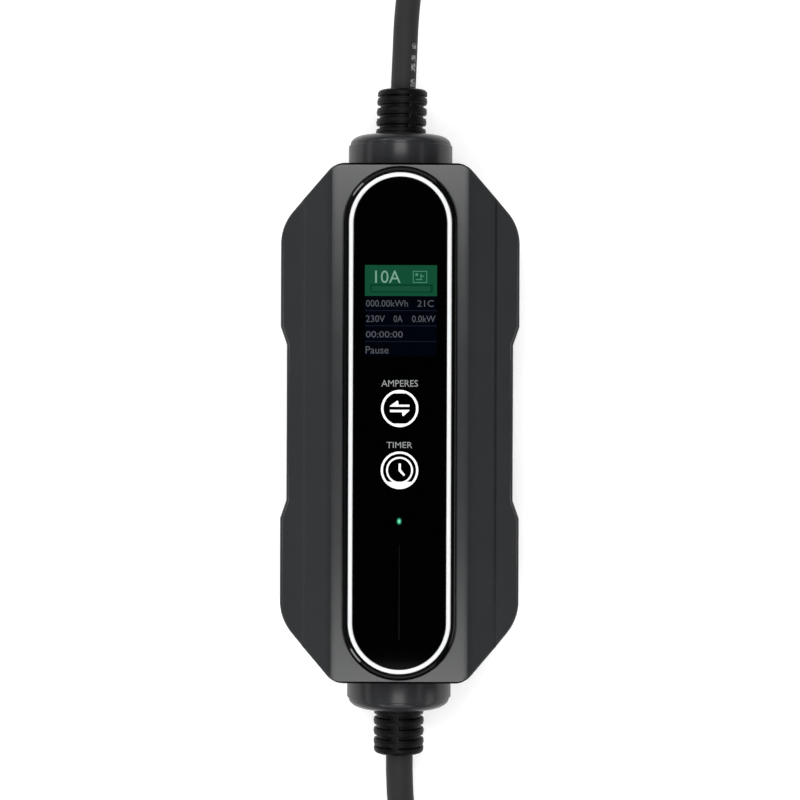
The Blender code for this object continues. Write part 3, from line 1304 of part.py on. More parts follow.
def build():
    """Clears the scene and makes every piece."""
    for old in list(bpy.data.objects):
        bpy.data.objects.remove(old)
    shell = material("shell_plastic", (0.035, 0.038, 0.041), 0.38)
    gloss = material("gloss_black", (0.004, 0.004, 0.005), 0.08)
    trim = material("trim_white", (0.85, 0.86, 0.87), 0.3)
    cap = material("cap_plastic", (0.045, 0.046, 0.05), 0.3)
    rubber = material("boot_rubber", (0.012, 0.012, 0.014), 0.55)
    jacket = material("lead_jacket", (0.035, 0.035, 0.036), 0.5)
    steel = material("screw_steel", (0.6, 0.6, 0.6), 0.35, 1.0)
    nickel = material("contact_nickel", (0.75, 0.73, 0.7), 0.25, 1.0)
    board = material("board_green", (0.02, 0.14, 0.06), 0.5)
    seal = material("seal_rubber", (0.5, 0.5, 0.48), 0.6)
    screen = material("screen_glass", (0.02, 0.06, 0.05), 0.1)
    clear = material("clear_plastic", (0.3, 0.8, 0.6), 0.15)
    foam = material("pad_foam", (0.05, 0.05, 0.05), 0.8)
    connector = material("connector_black", (0.012, 0.012, 0.013), 0.4)
    insert = material("insert_grey", (0.06, 0.06, 0.065), 0.45)
    strap = material("tie_fabric", (0.01, 0.01, 0.01), 0.9)
    finishes = {
        "relay": material("relay_case", (0.01, 0.01, 0.012), 0.4),
        "winding": material("winding_tape", (0.6, 0.42, 0.05), 0.5),
        "can": material("capacitor_sleeve", (0.03, 0.03, 0.05), 0.35),
        "ceramic": material("fuse_ceramic", (0.8, 0.78, 0.72), 0.4),
        "disc": material("varistor_coat", (0.05, 0.12, 0.35), 0.4),
        "chip": material("chip_epoxy", (0.012, 0.012, 0.012), 0.5),
    }
    terminal_green = material("terminal_plastic", (0.04, 0.3, 0.12), 0.4)

    rear_shell(shell)
    front_shell(shell)
    seals(seal)
    case_screws(steel)
    panel(gloss, trim, gloss)
    display_module(screen)
    touch_controls(board, foam, clear, clear)
    main_board(board)
    board_screws(steel)
    board_parts(finishes)
    ribbon(foam)
    mains_face = terminal("input_terminal", MAINS_CORE_COUNT, 1, terminal_green)
    vehicle_face = terminal("output_terminal", VEHICLE_CORE_COUNT, -1, terminal_green)
    cable_tail("mains_lead_tail", 1, MAINS_CORE_COUNT, mains_face, jacket)
    cable_tail("vehicle_lead_tail", -1, VEHICLE_CORE_COUNT, vehicle_face, jacket)
    ends(cap, rubber)
    leads(jacket, jacket)
    ties(strap)
    mains_plug(rubber, nickel)
    vehicle_connector(connector, insert, rubber)


build()
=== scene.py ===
"""Dresses the portable EV charger: shells, front panel, end caps, leads, plug and connector.

Numbers in the code are millimetres, in the part's own frame; meshes are made in metres.
"""

import json
import math

import bmesh
import bpy
import numpy as np
from mathutils import Matrix, Vector


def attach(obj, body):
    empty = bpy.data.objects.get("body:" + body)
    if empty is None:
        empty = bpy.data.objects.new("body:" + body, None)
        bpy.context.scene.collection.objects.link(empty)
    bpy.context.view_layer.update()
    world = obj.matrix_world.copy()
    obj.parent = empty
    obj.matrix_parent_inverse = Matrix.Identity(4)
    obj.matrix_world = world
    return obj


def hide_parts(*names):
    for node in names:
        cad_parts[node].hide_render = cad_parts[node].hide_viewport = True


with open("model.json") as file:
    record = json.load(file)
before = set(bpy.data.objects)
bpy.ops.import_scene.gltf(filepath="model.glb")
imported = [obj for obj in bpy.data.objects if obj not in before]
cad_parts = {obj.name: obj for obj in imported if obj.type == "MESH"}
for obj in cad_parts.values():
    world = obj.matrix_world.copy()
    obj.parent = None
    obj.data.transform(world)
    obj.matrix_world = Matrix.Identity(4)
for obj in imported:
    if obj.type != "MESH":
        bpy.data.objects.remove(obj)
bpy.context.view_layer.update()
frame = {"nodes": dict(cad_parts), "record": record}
MM = 0.001
NODES = frame["nodes"]
AXIS_HEIGHT = 25.5  # of the leads where they leave the box


# Meshes

def shown(name, data):
    """Puts a mesh, curve, camera or light in the scene."""
    item = bpy.data.objects.new(name, data)
    bpy.context.scene.collection.objects.link(item)
    return item


def placed(points, place):
    """Points carried by a frame."""
    place = np.array(place, float)
    return np.asarray(points, float) @ place[:3, :3].T + place[:3, 3]


def level(outline, height):
    """An outline's points at one height."""
    return np.column_stack([outline, np.full(len(outline), height)])


def lattice(rows, columns, closed=False):
    """Quads between neighbouring rows of a grid whose columns close into rings.

    Row i and column j are at index i * columns + j. Closed joins the last row to the first.
    """
    i = np.arange(rows if closed else rows - 1)[:, None]
    j = np.arange(columns)[None, :]
    beside, above = (j + 1) % columns, (i + 1) % rows
    quads = [i * columns + j, i * columns + beside, above * columns + beside, above * columns + j]
    return np.stack(np.broadcast_arrays(*quads), -1).reshape(-1, 4).tolist()


def capped(rows, columns):
    """A lattice round a closed outline, with a polygon over its first and its last row."""
    last = (rows - 1) * columns
    return lattice(rows, columns) + [list(range(columns)), list(range(last, last + columns))]


def solid(name, points, faces, finish, crease=30):
    """A closed mesh: equal points merged, faces turned outwards, edges over crease degrees sharp."""
    mesh = bpy.data.meshes.new(name)
    mesh.from_pydata((np.asarray(points, float) * MM).tolist(), [], faces)
    work = bmesh.new()
    work.from_mesh(mesh)
    bmesh.ops.remove_doubles(work, verts=work.verts, dist=1e-7)
    bmesh.ops.recalc_face_normals(work, faces=work.faces)
    if work.calc_volume(signed=True) < 0:
        bmesh.ops.reverse_faces(work, faces=work.faces)
    work.to_mesh(mesh)
    work.free()
    mesh.shade_smooth()
    mesh.set_sharp_from_angle(angle=math.radians(crease))
    mesh.materials.append(finish.material)
    return shown(name, mesh)


def gathered(meshes):
    """Several (points, faces) as one, face indices shifted."""
    points, faces, count = [], [], 0
    for some, loops in meshes:
        points.append(np.asarray(some, float))
        faces += [[index + count for index in loop] for loop in loops]
        count += len(some)
    return np.vstack(points), faces


def swept(outline, profile):
    """Grid points for a closed profile of (inset, height) rows carried round an outline.

    outline(inset) gives the same number of points at every inset.
    """
    rings = [level(outline(inset), height) for inset, height in profile]
    return np.vstack(rings), lattice(len(rings), len(rings[0]), closed=True)


def revolved(profile, place, sides):
    """Points (r cos a, r sin a, h) of a profile of (r, h) rows turned about the frame's Z."""
    turn = np.linspace(0, 2 * np.pi, sides, endpoint=False)
    radius, height = np.asarray(profile, float).T
    points = np.stack([
        np.outer(radius, np.cos(turn)), np.outer(radius, np.sin(turn)),
        np.repeat(height[:, None], sides, 1),
    ], -1).reshape(-1, 3)
    hollow = radius[0] > 0 or radius[-1] > 0
    return placed(points, place), lattice(len(radius), sides, closed=hollow)


def turned(name, profile, place, finish, sides, crease=30):
    """A turned solid, or a ring where the profile doesn't end on the axis."""
    points, faces = revolved(profile, place, sides)
    return solid(name, points, faces, finish, crease)


def eased(corners, steps):
    """An open line through (a, b, radius) corners, each rounded with an arc of its radius."""
    line = [np.array(corners[0][:2], float)]
    for before, here, after in zip(corners[:-2], corners[1:-1], corners[2:]):
        radius = here[2] if len(here) > 2 else 0
        spot = np.array(here[:2], float)
        back = np.array(before[:2], float) - spot
        ahead = np.array(after[:2], float) - spot
        back, ahead = back / np.linalg.norm(back), ahead / np.linalg.norm(ahead)
        half = math.acos(float(np.clip(back @ ahead, -1, 1))) / 2
        if radius == 0 or half > math.radians(89):
            line.append(spot)
            continue
        reach = radius / math.tan(half)
        centre = spot + (back + ahead) / np.linalg.norm(back + ahead) * radius / math.sin(half)
        first, last = spot + back * reach - centre, spot + ahead * reach - centre
        span = math.pi - 2 * half
        for k in range(steps + 1):
            share = k / steps
            arm = math.sin((1 - share) * span) * first + math.sin(share * span) * last
            line.append(centre + arm / math.sin(span))
    line.append(np.array(corners[-1][:2], float))
    return np.array(line)


def frame_along(origin, direction, up=(0, 0, 1)):
    """A frame at origin whose Z runs along direction and whose Y is as near up as it can be."""
    z = Vector(direction).normalized()
    x = Vector(up).cross(z).normalized()
    y = z.cross(x)
    return Matrix.Translation(Vector(origin)) @ Matrix((x, y, z)).transposed().to_4x4()


def refined(node, name, finish, crease, round_off):
    """A copy of a CAD node with its points merged and its edges finely rounded."""
    work = bmesh.new()
    work.from_mesh(NODES[node].data)
    bmesh.ops.remove_doubles(work, verts=work.verts, dist=1e-6)
    bmesh.ops.dissolve_limit(
        work, angle_limit=math.radians(0.5), verts=work.verts, edges=work.edges
    )
    mesh = bpy.data.meshes.new(name)
    work.to_mesh(mesh)
    work.free()
    mesh.shade_smooth()
    mesh.set_sharp_from_angle(angle=math.radians(crease))
    mesh.materials.clear()
    mesh.materials.append(finish.material)
    item = shown(name, mesh)
    rounding = item.modifiers.new("fine_round", "BEVEL")
    rounding.width = round_off * MM
    rounding.segments = 2
    rounding.limit_method = "ANGLE"
    rounding.angle_limit = math.radians(crease + 5)
    rounding.harden_normals = True
    return item


def carved(item, cutters):
    """Cuts the cutters out of item and removes them."""
    for cutter in cutters:
        step = item.modifiers.new("carve", "BOOLEAN")
        step.operation = "DIFFERENCE"
        step.solver = "EXACT"
        step.object = cutter
    graph = bpy.context.evaluated_depsgraph_get()
    mesh = bpy.data.meshes.new_from_object(item.evaluated_get(graph))
    item.modifiers.clear()
    item.data = mesh
    for cutter in cutters:
        bpy.data.objects.remove(cutter)


def settle(piece, slot, *nodes):
    """Makes a piece part of the model: it rides and stands for its nodes, which it hides; its slot is
    not used.
    """
    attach(piece, "root")
    if nodes:
        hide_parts(*nodes)
    return piece


# Finishes

class Value:
    """A number in a finish. Arithmetic on it adds Math nodes."""

    def __init__(self, finish, socket):
        self.finish, self.socket = finish, socket

    def maths(self, operation, first, second):
        """A Math node of two values."""
        return self.finish.value("ShaderNodeMath", {"operation": operation}, {0: first, 1: second})

    def __add__(self, other):
        return self.maths("ADD", self, other)

    def __radd__(self, other):
        return self.maths("ADD", other, self)

    def __sub__(self, other):
        return self.maths("SUBTRACT", self, other)

    def __rsub__(self, other):
        return self.maths("SUBTRACT", other, self)

    def __mul__(self, other):
        return self.maths("MULTIPLY", self, other)

    def __rmul__(self, other):
        return self.maths("MULTIPLY", other, self)

    def __truediv__(self, other):
        return self.maths("DIVIDE", self, other)

    def __gt__(self, other):
        return self.maths("GREATER_THAN", self, other)

    def wave(self, length):
        """A sine of the value, from 0 to 1, that repeats every length."""
        angle = self * (2 * math.pi / length)
        return self.finish.value("ShaderNodeMath", {"operation": "SINE"}, {0: angle}) * 0.5 + 0.5

    def between(self, low, high):
        """0 at low and under, 1 at high and over, eased."""
        return self.finish.value(
            "ShaderNodeMapRange", {"interpolation_type": "SMOOTHSTEP"},
            {"Value": self, "From Min": low, "From Max": high},
        )

    def distance(self):
        """The value without its sign."""
        return self.finish.value("ShaderNodeMath", {"operation": "ABSOLUTE"}, {0: self})

    def band(self, low, high, soft):
        """1 from low to high, 0 outside, each end eased over soft."""
        return self.between(low, low + soft) - self.between(high - soft, high)


class Finish:
    """One procedural material, read in Object coordinates."""

    def __init__(self, name, colour=(0.5, 0.5, 0.5), roughness=0.5, metallic=0.0, **fixed):
        self.name = name
        self.material = bpy.data.materials.new(name)
        self.material.use_nodes = True
        self.tree = self.material.node_tree
        self.shader = self.tree.nodes["Principled BSDF"]
        self.spot = self.node("ShaderNodeTexCoord").outputs["Object"]
        self.set(Base_Color=(*colour, 1), Roughness=roughness, Metallic=metallic, **fixed)

    def node(self, kind, settings=None, inputs=None):
        """A node of a kind: its settings first, then the values or links of its sockets."""
        made = self.tree.nodes.new(kind)
        for key, setting in (settings or {}).items():
            setattr(made, key, setting)
        for key, item in (inputs or {}).items():
            self.join(item, made.inputs[key])
        return made

    def join(self, item, socket):
        """Links a value or socket to a socket, or writes a plain number or colour in it."""
        source = item.socket if isinstance(item, Value) else item
        if isinstance(source, bpy.types.NodeSocket):
            self.tree.links.new(source, socket)
        else:
            socket.default_value = source

    def value(self, kind, settings=None, inputs=None, output=0):
        """One output of a new node as a Value."""
        return Value(self, self.node(kind, settings, inputs).outputs[output])

    def axis(self, name):
        """The object's X, Y or Z in metres."""
        return self.value("ShaderNodeSeparateXYZ", None, {0: self.spot}, "XYZ".index(name))

    def noise(self, size, detail=2.0, stretch=None):
        """Noise from 0 to 1 whose features are about size millimetres across."""
        spot = self.spot
        if stretch:
            spot = self.node("ShaderNodeMapping", None, {"Vector": spot, "Scale": stretch}).outputs[0]
        inputs = {"Vector": spot, "Scale": 1 / (size * MM), "Detail": detail}
        return self.value("ShaderNodeTexNoise", None, inputs, "Fac")

    def cells(self, size):
        """Distance to scattered points about size millimetres apart."""
        return self.value(
            "ShaderNodeTexVoronoi", {"feature": "F1"},
            {"Vector": self.spot, "Scale": 1 / (size * MM)}, "Distance",
        )

    def blend(self, first, second, share):
        """A colour from first to second by share."""
        mix = self.node("ShaderNodeMix", {"data_type": "RGBA"})
        self.join(share, mix.inputs[0])
        for item, index in ((first, 6), (second, 7)):
            self.join((*item, 1) if isinstance(item, tuple) else item, mix.inputs[index])
        return mix.outputs[2]

    def bump(self, height, depth, strength=1.0):
        """A normal from a height from 0 to 1, depth in millimetres."""
        made = self.node("ShaderNodeBump", None,
                         {"Height": height, "Distance": depth * MM, "Strength": strength})
        self.set(Normal=made.outputs[0])

    def paint_shade(self, share):
        """Painted shade: gives way to a dead black where share is 1."""
        black = self.node("ShaderNodeBsdfDiffuse", None, {"Color": (0.001, 0.001, 0.001, 1)})
        mix = self.node("ShaderNodeMixShader", None, {0: share})
        self.tree.links.new(self.shader.outputs[0], mix.inputs[1])
        self.tree.links.new(black.outputs[0], mix.inputs[2])
        self.tree.links.new(mix.outputs[0], self.tree.nodes["Material Output"].inputs[0])

    def set(self, **sockets):
        """Feeds the shader's sockets, each named with an underscore for a space."""
        for key, item in sockets.items():
            self.join(item, self.shader.inputs[key.replace("_", " ")])


def shade(colour, factor):
    """A colour made darker or lighter."""
    return tuple(min(1.0, c * factor) for c in colour)


def moulded(name, colour, roughness, grain=0.35, depth=0.012, mottle=0.12, **fixed):
    """Moulded plastic or rubber: a fine spark-eroded grain, faint clouding and uneven sheen."""
    finish = Finish(name, colour, roughness, **fixed)
    cloud = finish.noise(14, 3)
    fine = finish.noise(grain, 2)
    tone = finish.blend(shade(colour, 1 - mottle), shade(colour, 1 + mottle), cloud * 0.7 + fine * 0.3)
    finish.set(Base_Color=tone, Roughness=roughness - 0.04 + cloud * 0.05 + fine * 0.05)
    finish.bump(fine, depth)
    return finish


def polished(name, colour, roughness, smear=0.05, **fixed):
    """Polished plastic or glass: nearly smooth, with faint smears in its sheen."""
    finish = Finish(name, colour, roughness, **fixed)
    smears = finish.noise(9, 4, (1, 0.4, 1))
    finish.set(Roughness=roughness + smears * smear)
    finish.bump(finish.noise(13, 1), 0.008, 0.5)
    return finish


def metal(name, colour, roughness):
    """Plated metal with fine drawn lines and slight tarnish."""
    finish = Finish(name, colour, roughness, 1.0)
    lines = finish.noise(0.25, 2, (1, 1, 0.08))
    tarnish = finish.noise(5, 3)
    tone = finish.blend(shade(colour, 0.82), colour, tarnish)
    finish.set(Base_Color=tone, Roughness=roughness + lines * 0.12)
    finish.bump(lines, 0.004)
    return finish


PRINT_RUNS = ((128.2, 131.3), (134.2, 137.3), (138.0, 140.4), (142.8, 145.1))
PRINT_SLANT = 0.0415  # of the mains lead's axis in X for each unit of Y, near the box


def jacket_finish():
    """Lead jacket: dull rubber with shallow ripples, and runs of light specks near the box."""
    colour = (0.021, 0.021, 0.0215)
    finish = Finish("lead_jacket", colour, 0.6, Specular_IOR_Level=0.15)
    cloud, fine = finish.noise(11, 3), finish.noise(0.4, 2)
    tone = finish.blend(shade(colour, 0.85), shade(colour, 1.2), cloud)
    along = finish.axis("Y")
    runs = [along.band(low * MM, high * MM, 0.2 * MM) for low, high in PRINT_RUNS]
    marks = runs[0] + runs[1] + runs[2] + runs[3]
    beside_axis = finish.axis("X") - PRINT_SLANT * along + 4.4 * MM
    marks = marks * beside_axis.band(2.6 * MM, 4.4 * MM, 0.3 * MM) * (finish.axis("Z") > 26 * MM)
    marks = marks * finish.noise(1.0, 1).between(0.40, 0.52)
    finish.set(Base_Color=finish.blend(tone, (0.24, 0.24, 0.24), marks),
               Roughness=0.52 + 0.12 * cloud + 0.05 * fine)
    finish.bump(fine * 0.6 + finish.noise(2.2, 1) * 0.4, 0.03)
    return finish


def woven_finish():
    """Hook-and-loop webbing: a plain weave of ribs across and along, with fuzz."""
    finish = Finish("tie_fabric", (0.012, 0.012, 0.013), 0.9, Sheen_Weight=0.3)
    along = finish.axis("Y").wave(0.9 * MM)
    around = (finish.axis("X") + finish.axis("Z")).wave(1.1 * MM)
    weave = along * around + (1 - along) * (1 - around)
    fuzz = finish.noise(0.3, 3)
    tone = finish.blend((0.006, 0.006, 0.007), (0.03, 0.03, 0.032), weave * 0.6 + fuzz * 0.4)
    finish.set(Base_Color=tone)
    finish.bump(weave * 0.7 + fuzz * 0.3, 0.12)
    return finish


def board_finish():
    """Circuit board: green resist over copper runs, with bare pads."""
    finish = Finish("board_green", (0.02, 0.14, 0.06), 0.4)
    runs = finish.axis("X").wave(2.4 * MM) * finish.noise(7, 1) + finish.axis("Y").wave(3.1 * MM) * 0.3
    copper = runs.between(0.42, 0.48)
    pads = 1 - finish.cells(3.2).between(0.12, 0.16)
    green = finish.blend((0.012, 0.1, 0.042), (0.03, 0.2, 0.08), copper)
    finish.set(Base_Color=finish.blend(green, (0.7, 0.66, 0.5), pads), Metallic=pads * 0.8)
    finish.bump(copper * 0.6 + pads * 0.4, 0.04)
    return finish


def tape_finish():
    """Yellow winding tape: overlapping turns with soft edges."""
    finish = Finish("winding_tape", (0.6, 0.42, 0.05), 0.45)
    turns = (finish.axis("Y") + finish.axis("X") * 0.12).wave(3 * MM)
    edge = turns.between(0.86, 0.95)
    finish.set(Base_Color=finish.blend((0.62, 0.44, 0.05), (0.4, 0.27, 0.03), edge))
    finish.bump(turns, 0.1)
    return finish


def glowing(name, colour):
    """A lit part of the display: an even glow with a faint pixel grid."""
    finish = Finish(name, (0.0, 0.0, 0.0), 0.06, Specular_IOR_Level=0.02)
    grid = finish.axis("X").wave(0.2 * MM) * finish.axis("Y").wave(0.2 * MM)
    tone = finish.blend(shade(colour, 0.85), shade(colour, 1.05), grid)
    finish.set(Emission_Color=tone, Emission_Strength=1.0)
    return finish


STRIP_HALF, STEP_HALF, STEP_FOOT = 25.5, 35.35, 36.35
EDGE_ROLL = 2.2
SHELL = moulded("shell_plastic", (0.0145, 0.0157, 0.0170), 0.235, 0.4, 0.004, 0.1)


def shell_edges():
    """The front's long edges rolled over, and painted shade: dark lines at its steps and end edges.

    The bump near an edge is a parabola in the distance from it, over EDGE_ROLL to each side.
    """
    across, height = SHELL.axis("X").distance(), SHELL.axis("Z")
    near = 1 - ((across - STRIP_HALF * MM) / (EDGE_ROLL * MM)).distance()
    near = SHELL.value("ShaderNodeMath", {"operation": "MAXIMUM"}, {0: near, 1: 0.0})
    SHELL.bump(SHELL.noise(0.4, 2) * 0.035 - near * near * (height > 49 * MM), 0.115)
    # Painted shade: a black line along the front's rounded end edges, and a fainter one (36 %) at each
    # step between the facets.
    ends = (SHELL.axis("Y").distance().between(96.3 * MM, 96.7 * MM)
            * height.between(49.7 * MM, 50.1 * MM))
    steps = across.band((STEP_HALF - 0.15) * MM, (STEP_FOOT + 0.15) * MM, 0.25 * MM)
    steps = steps * (height > 45 * MM)
    SHELL.paint_shade(ends + steps * 0.36)


shell_edges()
CAP = moulded("cap_plastic", (0.020, 0.0205, 0.0225), 0.24, 0.5, 0.004, 0.12,
              Specular_IOR_Level=0.22)
# Painted shade: each cap is blended towards black below 38 mm height, by up to 60 % at 24 mm and
# under.
CAP.paint_shade((1 - CAP.axis("Z").between(24 * MM, 38 * MM)) * 0.6)
BLACK = polished("gloss_black", (0.0002, 0.0002, 0.0003), 0.03, 0.03, Specular_IOR_Level=0.019)
BEZEL = polished("bezel_gloss", (0.0003, 0.0003, 0.0004), 0.05, 0.03, Specular_IOR_Level=0.15)
WHITE = polished("trim_white", (0.74, 0.75, 0.76), 0.28)
RUBBER = moulded("boot_rubber", (0.0018, 0.0018, 0.0022), 0.40, 0.5, 0.02, 0.2,
                 Specular_IOR_Level=0.09)
JACKET = jacket_finish()
STEEL = metal("screw_steel", (0.6, 0.6, 0.6), 0.3)
NICKEL = metal("contact_nickel", (0.75, 0.73, 0.7), 0.2)
BOARD = board_finish()
SEAL = moulded("seal_rubber", (0.5, 0.5, 0.48), 0.6)
SCREEN = polished("screen_glass", (0.02, 0.06, 0.05), 0.1)
CLEAR = polished("clear_plastic", (0.3, 0.8, 0.6), 0.15)
FOAM = moulded("pad_foam", (0.05, 0.05, 0.05), 0.8, 0.6, 0.1, 0.3)
CONNECTOR = moulded("connector_black", (0.013, 0.013, 0.014), 0.42, 0.5, 0.03, 0.15)
INSERT = moulded("insert_grey", (0.06, 0.06, 0.065), 0.45)
FABRIC = woven_finish()
RELAY = moulded("relay_case", (0.01, 0.01, 0.012), 0.35)
TAPE = tape_finish()
CAN = polished("capacitor_sleeve", (0.03, 0.03, 0.05), 0.3)
CERAMIC = polished("fuse_ceramic", (0.8, 0.78, 0.72), 0.35)
DISC = polished("varistor_coat", (0.05, 0.12, 0.35), 0.35)
CHIP = moulded("chip_epoxy", (0.012, 0.012, 0.012), 0.5)
TERMINAL = moulded("terminal_plastic", (0.04, 0.3, 0.12), 0.38)
FINISHES = {finish.name: finish for finish in (
    SHELL, CAP, BLACK, WHITE, RUBBER, JACKET, STEEL, NICKEL, BOARD, SEAL, SCREEN, CLEAR, FOAM,
    CONNECTOR, INSERT, FABRIC, RELAY, TAPE, CAN, CERAMIC, DISC, CHIP, TERMINAL)}


# Camera

def camera():
    """Straight down from about 0.9 m, its foot a little above the middle of the box."""
    lens = bpy.data.cameras.new("camera")
    view_width, distance = 307.7, 880.0
    foot_y, middle_y = 27.0, 8.15
    lens.sensor_width = 36
    lens.lens = 36 * distance / view_width
    lens.shift_y = (middle_y - foot_y) / view_width
    lens.clip_start = 0.01
    eye = shown("camera", lens)
    eye.location = (0, foot_y * MM, (AXIS_HEIGHT + distance) * MM)
    eye.rotation_euler = (0, 0, math.radians(0.2))
    bpy.context.scene.camera = eye


camera()


# Leads

MAINS_ROUTE = [
    (0.9, 127.6, AXIS_HEIGHT), (1.5, 142, 25.4), (2.1, 155, 24.9), (3.6, 168, 22.5),
    (7.4, 181, 18.1), (14.2, 194.5, 12.9), (23, 208.5, 8.7), (32, 223.5, 6.0),
    (38.2, 239, 4.9), (40, 255, 4.8), (34.5, 271.5, 4.8), (21.5, 285.5, 4.8),
    (3, 293.5, 4.8), (-17, 293.5, 4.8), (-36, 285, 4.8), (-49.5, 269.5, 4.8), (-54.5, 250, 4.8), (-51, 230.5, 5.2), (-40, 214, 7.2),
    (-24.5, 203.5, 11.2), (-7.5, 200, 15.8), (8.3, 203, 19.4), (21.3, 211.7, 21.6),
    (30, 224.7, 21.8), (33, 240, 20.9), (33, 252, 20.3), (33, 263.7, 20.2),
]
VEHICLE_ROUTE = [
    (0.3, -127.6, AXIS_HEIGHT), (0.4, -137, 25.4), (1.2, -149, 23.8), (4.5, -163, 20.3),
    (11, -178, 15.6), (19.5, -193, 11.2), (27.5, -207, 8.3), (32.4, -218, 7.1),
    (33.6, -228, 6.95), (33.6, -242, 6.95),
]
MAINS_RADIUS, VEHICLE_RADIUS = 4.8, 5.15
PITCH, TURN_RADIUS, STRAIGHT = 10.6, 41.6, 125.0
HANK_X, HANK_Y, HANK_FLOOR, LAYERS = -8.0, -257.6, 1.8, 5
HANK_TOP = HANK_FLOOR + 2 * VEHICLE_RADIUS + (LAYERS - 1) * PITCH
TURNS, SHIFT, LAYER_TURNS = 8.52, 0.19, 1.8575
BAND, BAND_CLEARANCE = 1.5, 0.9
SHROUD_RADIUS, SHROUD_FLAT = 28.6, 20.5
LOOP_RADIUS, LOOP_MIDDLE, LOOP_HEADING = 41.2, 33.0, -20.0


def ease(low, high, value):
    """0 below low, 1 above high, and 3 s^2 - 2 s^3 between."""
    share = np.clip((value - low) / (high - low), 0, 1)
    return share * share * (3 - 2 * share)


def racetrack(radius, turns):
    """Point on a long ring, clockwise from the near end of its right run.

    A share of a turn is spent on each run and half-round end, the same for every radius, so
    that turns beside each other stay side by side.
    """
    middle = TURN_RADIUS - PITCH / 2
    arc = np.pi * middle / (2 * np.pi * middle + 2 * STRAIGHT)
    run = 0.5 - arc
    share = turns % 1.0
    far = share < 0.5
    within = np.where(far, share, share - 0.5)
    sign = np.where(far, 1, -1)
    bend = np.pi * np.clip((within - run) / arc, 0, 1)
    along = STRAIGHT * np.clip(within / run, 0, 1)
    x = sign * radius * np.cos(bend)
    y = np.where(far, -along, along - STRAIGHT) - sign * radius * np.sin(bend)
    return HANK_X + x, HANK_Y + y


def winding(turns):
    """The wound lead: two columns and five layers, filled outwards and inwards by turns.

    The lead shifts from one column to the other once in each layer, and climbs one pitch to
    the next layer a turn later, each over a part of a turn with an eased step.
    """
    column, layer = np.zeros_like(turns), np.zeros_like(turns)
    for index in range(LAYERS):
        start = 0.78 + LAYER_TURNS * index
        step = ease(start, start + SHIFT, turns)
        column += step if index % 2 == 0 else -step
        if index < LAYERS - 1:
            layer += ease(start + 1 - 0.5 * SHIFT, start + 1 + 0.75 * SHIFT, turns)
    x, y = racetrack(TURN_RADIUS - PITCH * column, turns)
    return np.column_stack([x, y, HANK_FLOOR + VEHICLE_RADIUS + PITCH * layer])


def loop_frame():
    """The vehicle connector's frame at its boot's tip, Z towards its nose."""
    turn = math.radians(LOOP_HEADING)
    x = HANK_X - TURN_RADIUS + PITCH + LOOP_RADIUS
    y = HANK_Y + LOOP_MIDDLE
    height = HANK_TOP + BAND + BAND_CLEARANCE + SHROUD_RADIUS
    spot = (x + LOOP_RADIUS * math.cos(turn), y + LOOP_RADIUS * math.sin(turn), height)
    return frame_along(spot, (math.sin(turn), -math.cos(turn), 0))


def lead_out():
    """From the hank's last turn, along its left run, up and round a loop to the connector.

    Its height is the sum of two eased rises: over the hank's top, then to the connector.
    """
    tip = loop_frame().translation
    low = HANK_TOP - VEHICLE_RADIUS
    over = HANK_TOP + VEHICLE_RADIUS + 0.6
    x, y = HANK_X - TURN_RADIUS + PITCH, HANK_Y + LOOP_MIDDLE
    swing = math.pi - math.radians(LOOP_HEADING)
    rise_from = y - LOOP_MIDDLE + 17
    total = y - rise_from + LOOP_RADIUS * swing
    ys = np.linspace(HANK_Y - 30, y, 9)[:-1]
    line = np.column_stack([np.full(len(ys), x), ys])
    angle = np.linspace(0, swing, 18)
    line = np.vstack([line, np.column_stack([
        x + LOOP_RADIUS * (1 - np.cos(angle)), y + LOOP_RADIUS * np.sin(angle)
    ])])
    run = np.concatenate([ys - rise_from, y - rise_from + LOOP_RADIUS * angle])
    height = low + (over - low) * ease(-42, 10, run)
    height += (tip.z - over) * ease(0, total - 2 * VEHICLE_RADIUS, run)
    points = np.column_stack([line, height])
    heading = np.array(loop_frame().to_3x3() @ Vector((0, 0, 1)))
    points[-1] += 2 * heading
    return points


def cord_curve(name, points, radius, finish):
    """One smooth open spline through the points, handles a third of the way to each neighbour."""
    points = np.asarray(points, float) * MM
    tangent = np.gradient(points, axis=0)
    tangent /= np.linalg.norm(tangent, axis=1)[:, None]
    gap = np.linalg.norm(np.diff(points, axis=0), axis=1) / 3
    before, after = np.r_[gap[0], gap], np.r_[gap, gap[-1]]
    curve = bpy.data.curves.new(name, "CURVE")
    curve.dimensions = "3D"
    curve.bevel_depth = radius * MM
    curve.bevel_resolution = 8
    curve.resolution_u = 4
    curve.use_fill_caps = True
    spline = curve.splines.new("BEZIER")
    spline.bezier_points.add(len(points) - 1)
    for key, values in (
        ("co", points), ("handle_left", points - tangent * before[:, None]),
        ("handle_right", points + tangent * after[:, None]),
    ):
        spline.bezier_points.foreach_set(key, values.ravel())
    curve.materials.append(finish.material)
    return shown(name, curve)


def vehicle_points():
    """The route to the hank, 32 points for each turn in it, and the way out of it."""
    turns = np.linspace(0, TURNS, int(TURNS * 32))[1:]
    return np.vstack([VEHICLE_ROUTE, winding(turns), lead_out()[1:]])


mains_points = np.array(MAINS_ROUTE, float)
vehicle_route = vehicle_points()
mains_lead = settle(cord_curve("mains_flex", mains_points, MAINS_RADIUS, JACKET),
                    "lead_jacket", "mains_lead")
vehicle_lead = settle(cord_curve("vehicle_flex", vehicle_route, VEHICLE_RADIUS, JACKET),
                      "lead_jacket", "vehicle_lead", "vehicle_coil", "vehicle_lead_end")


# Box

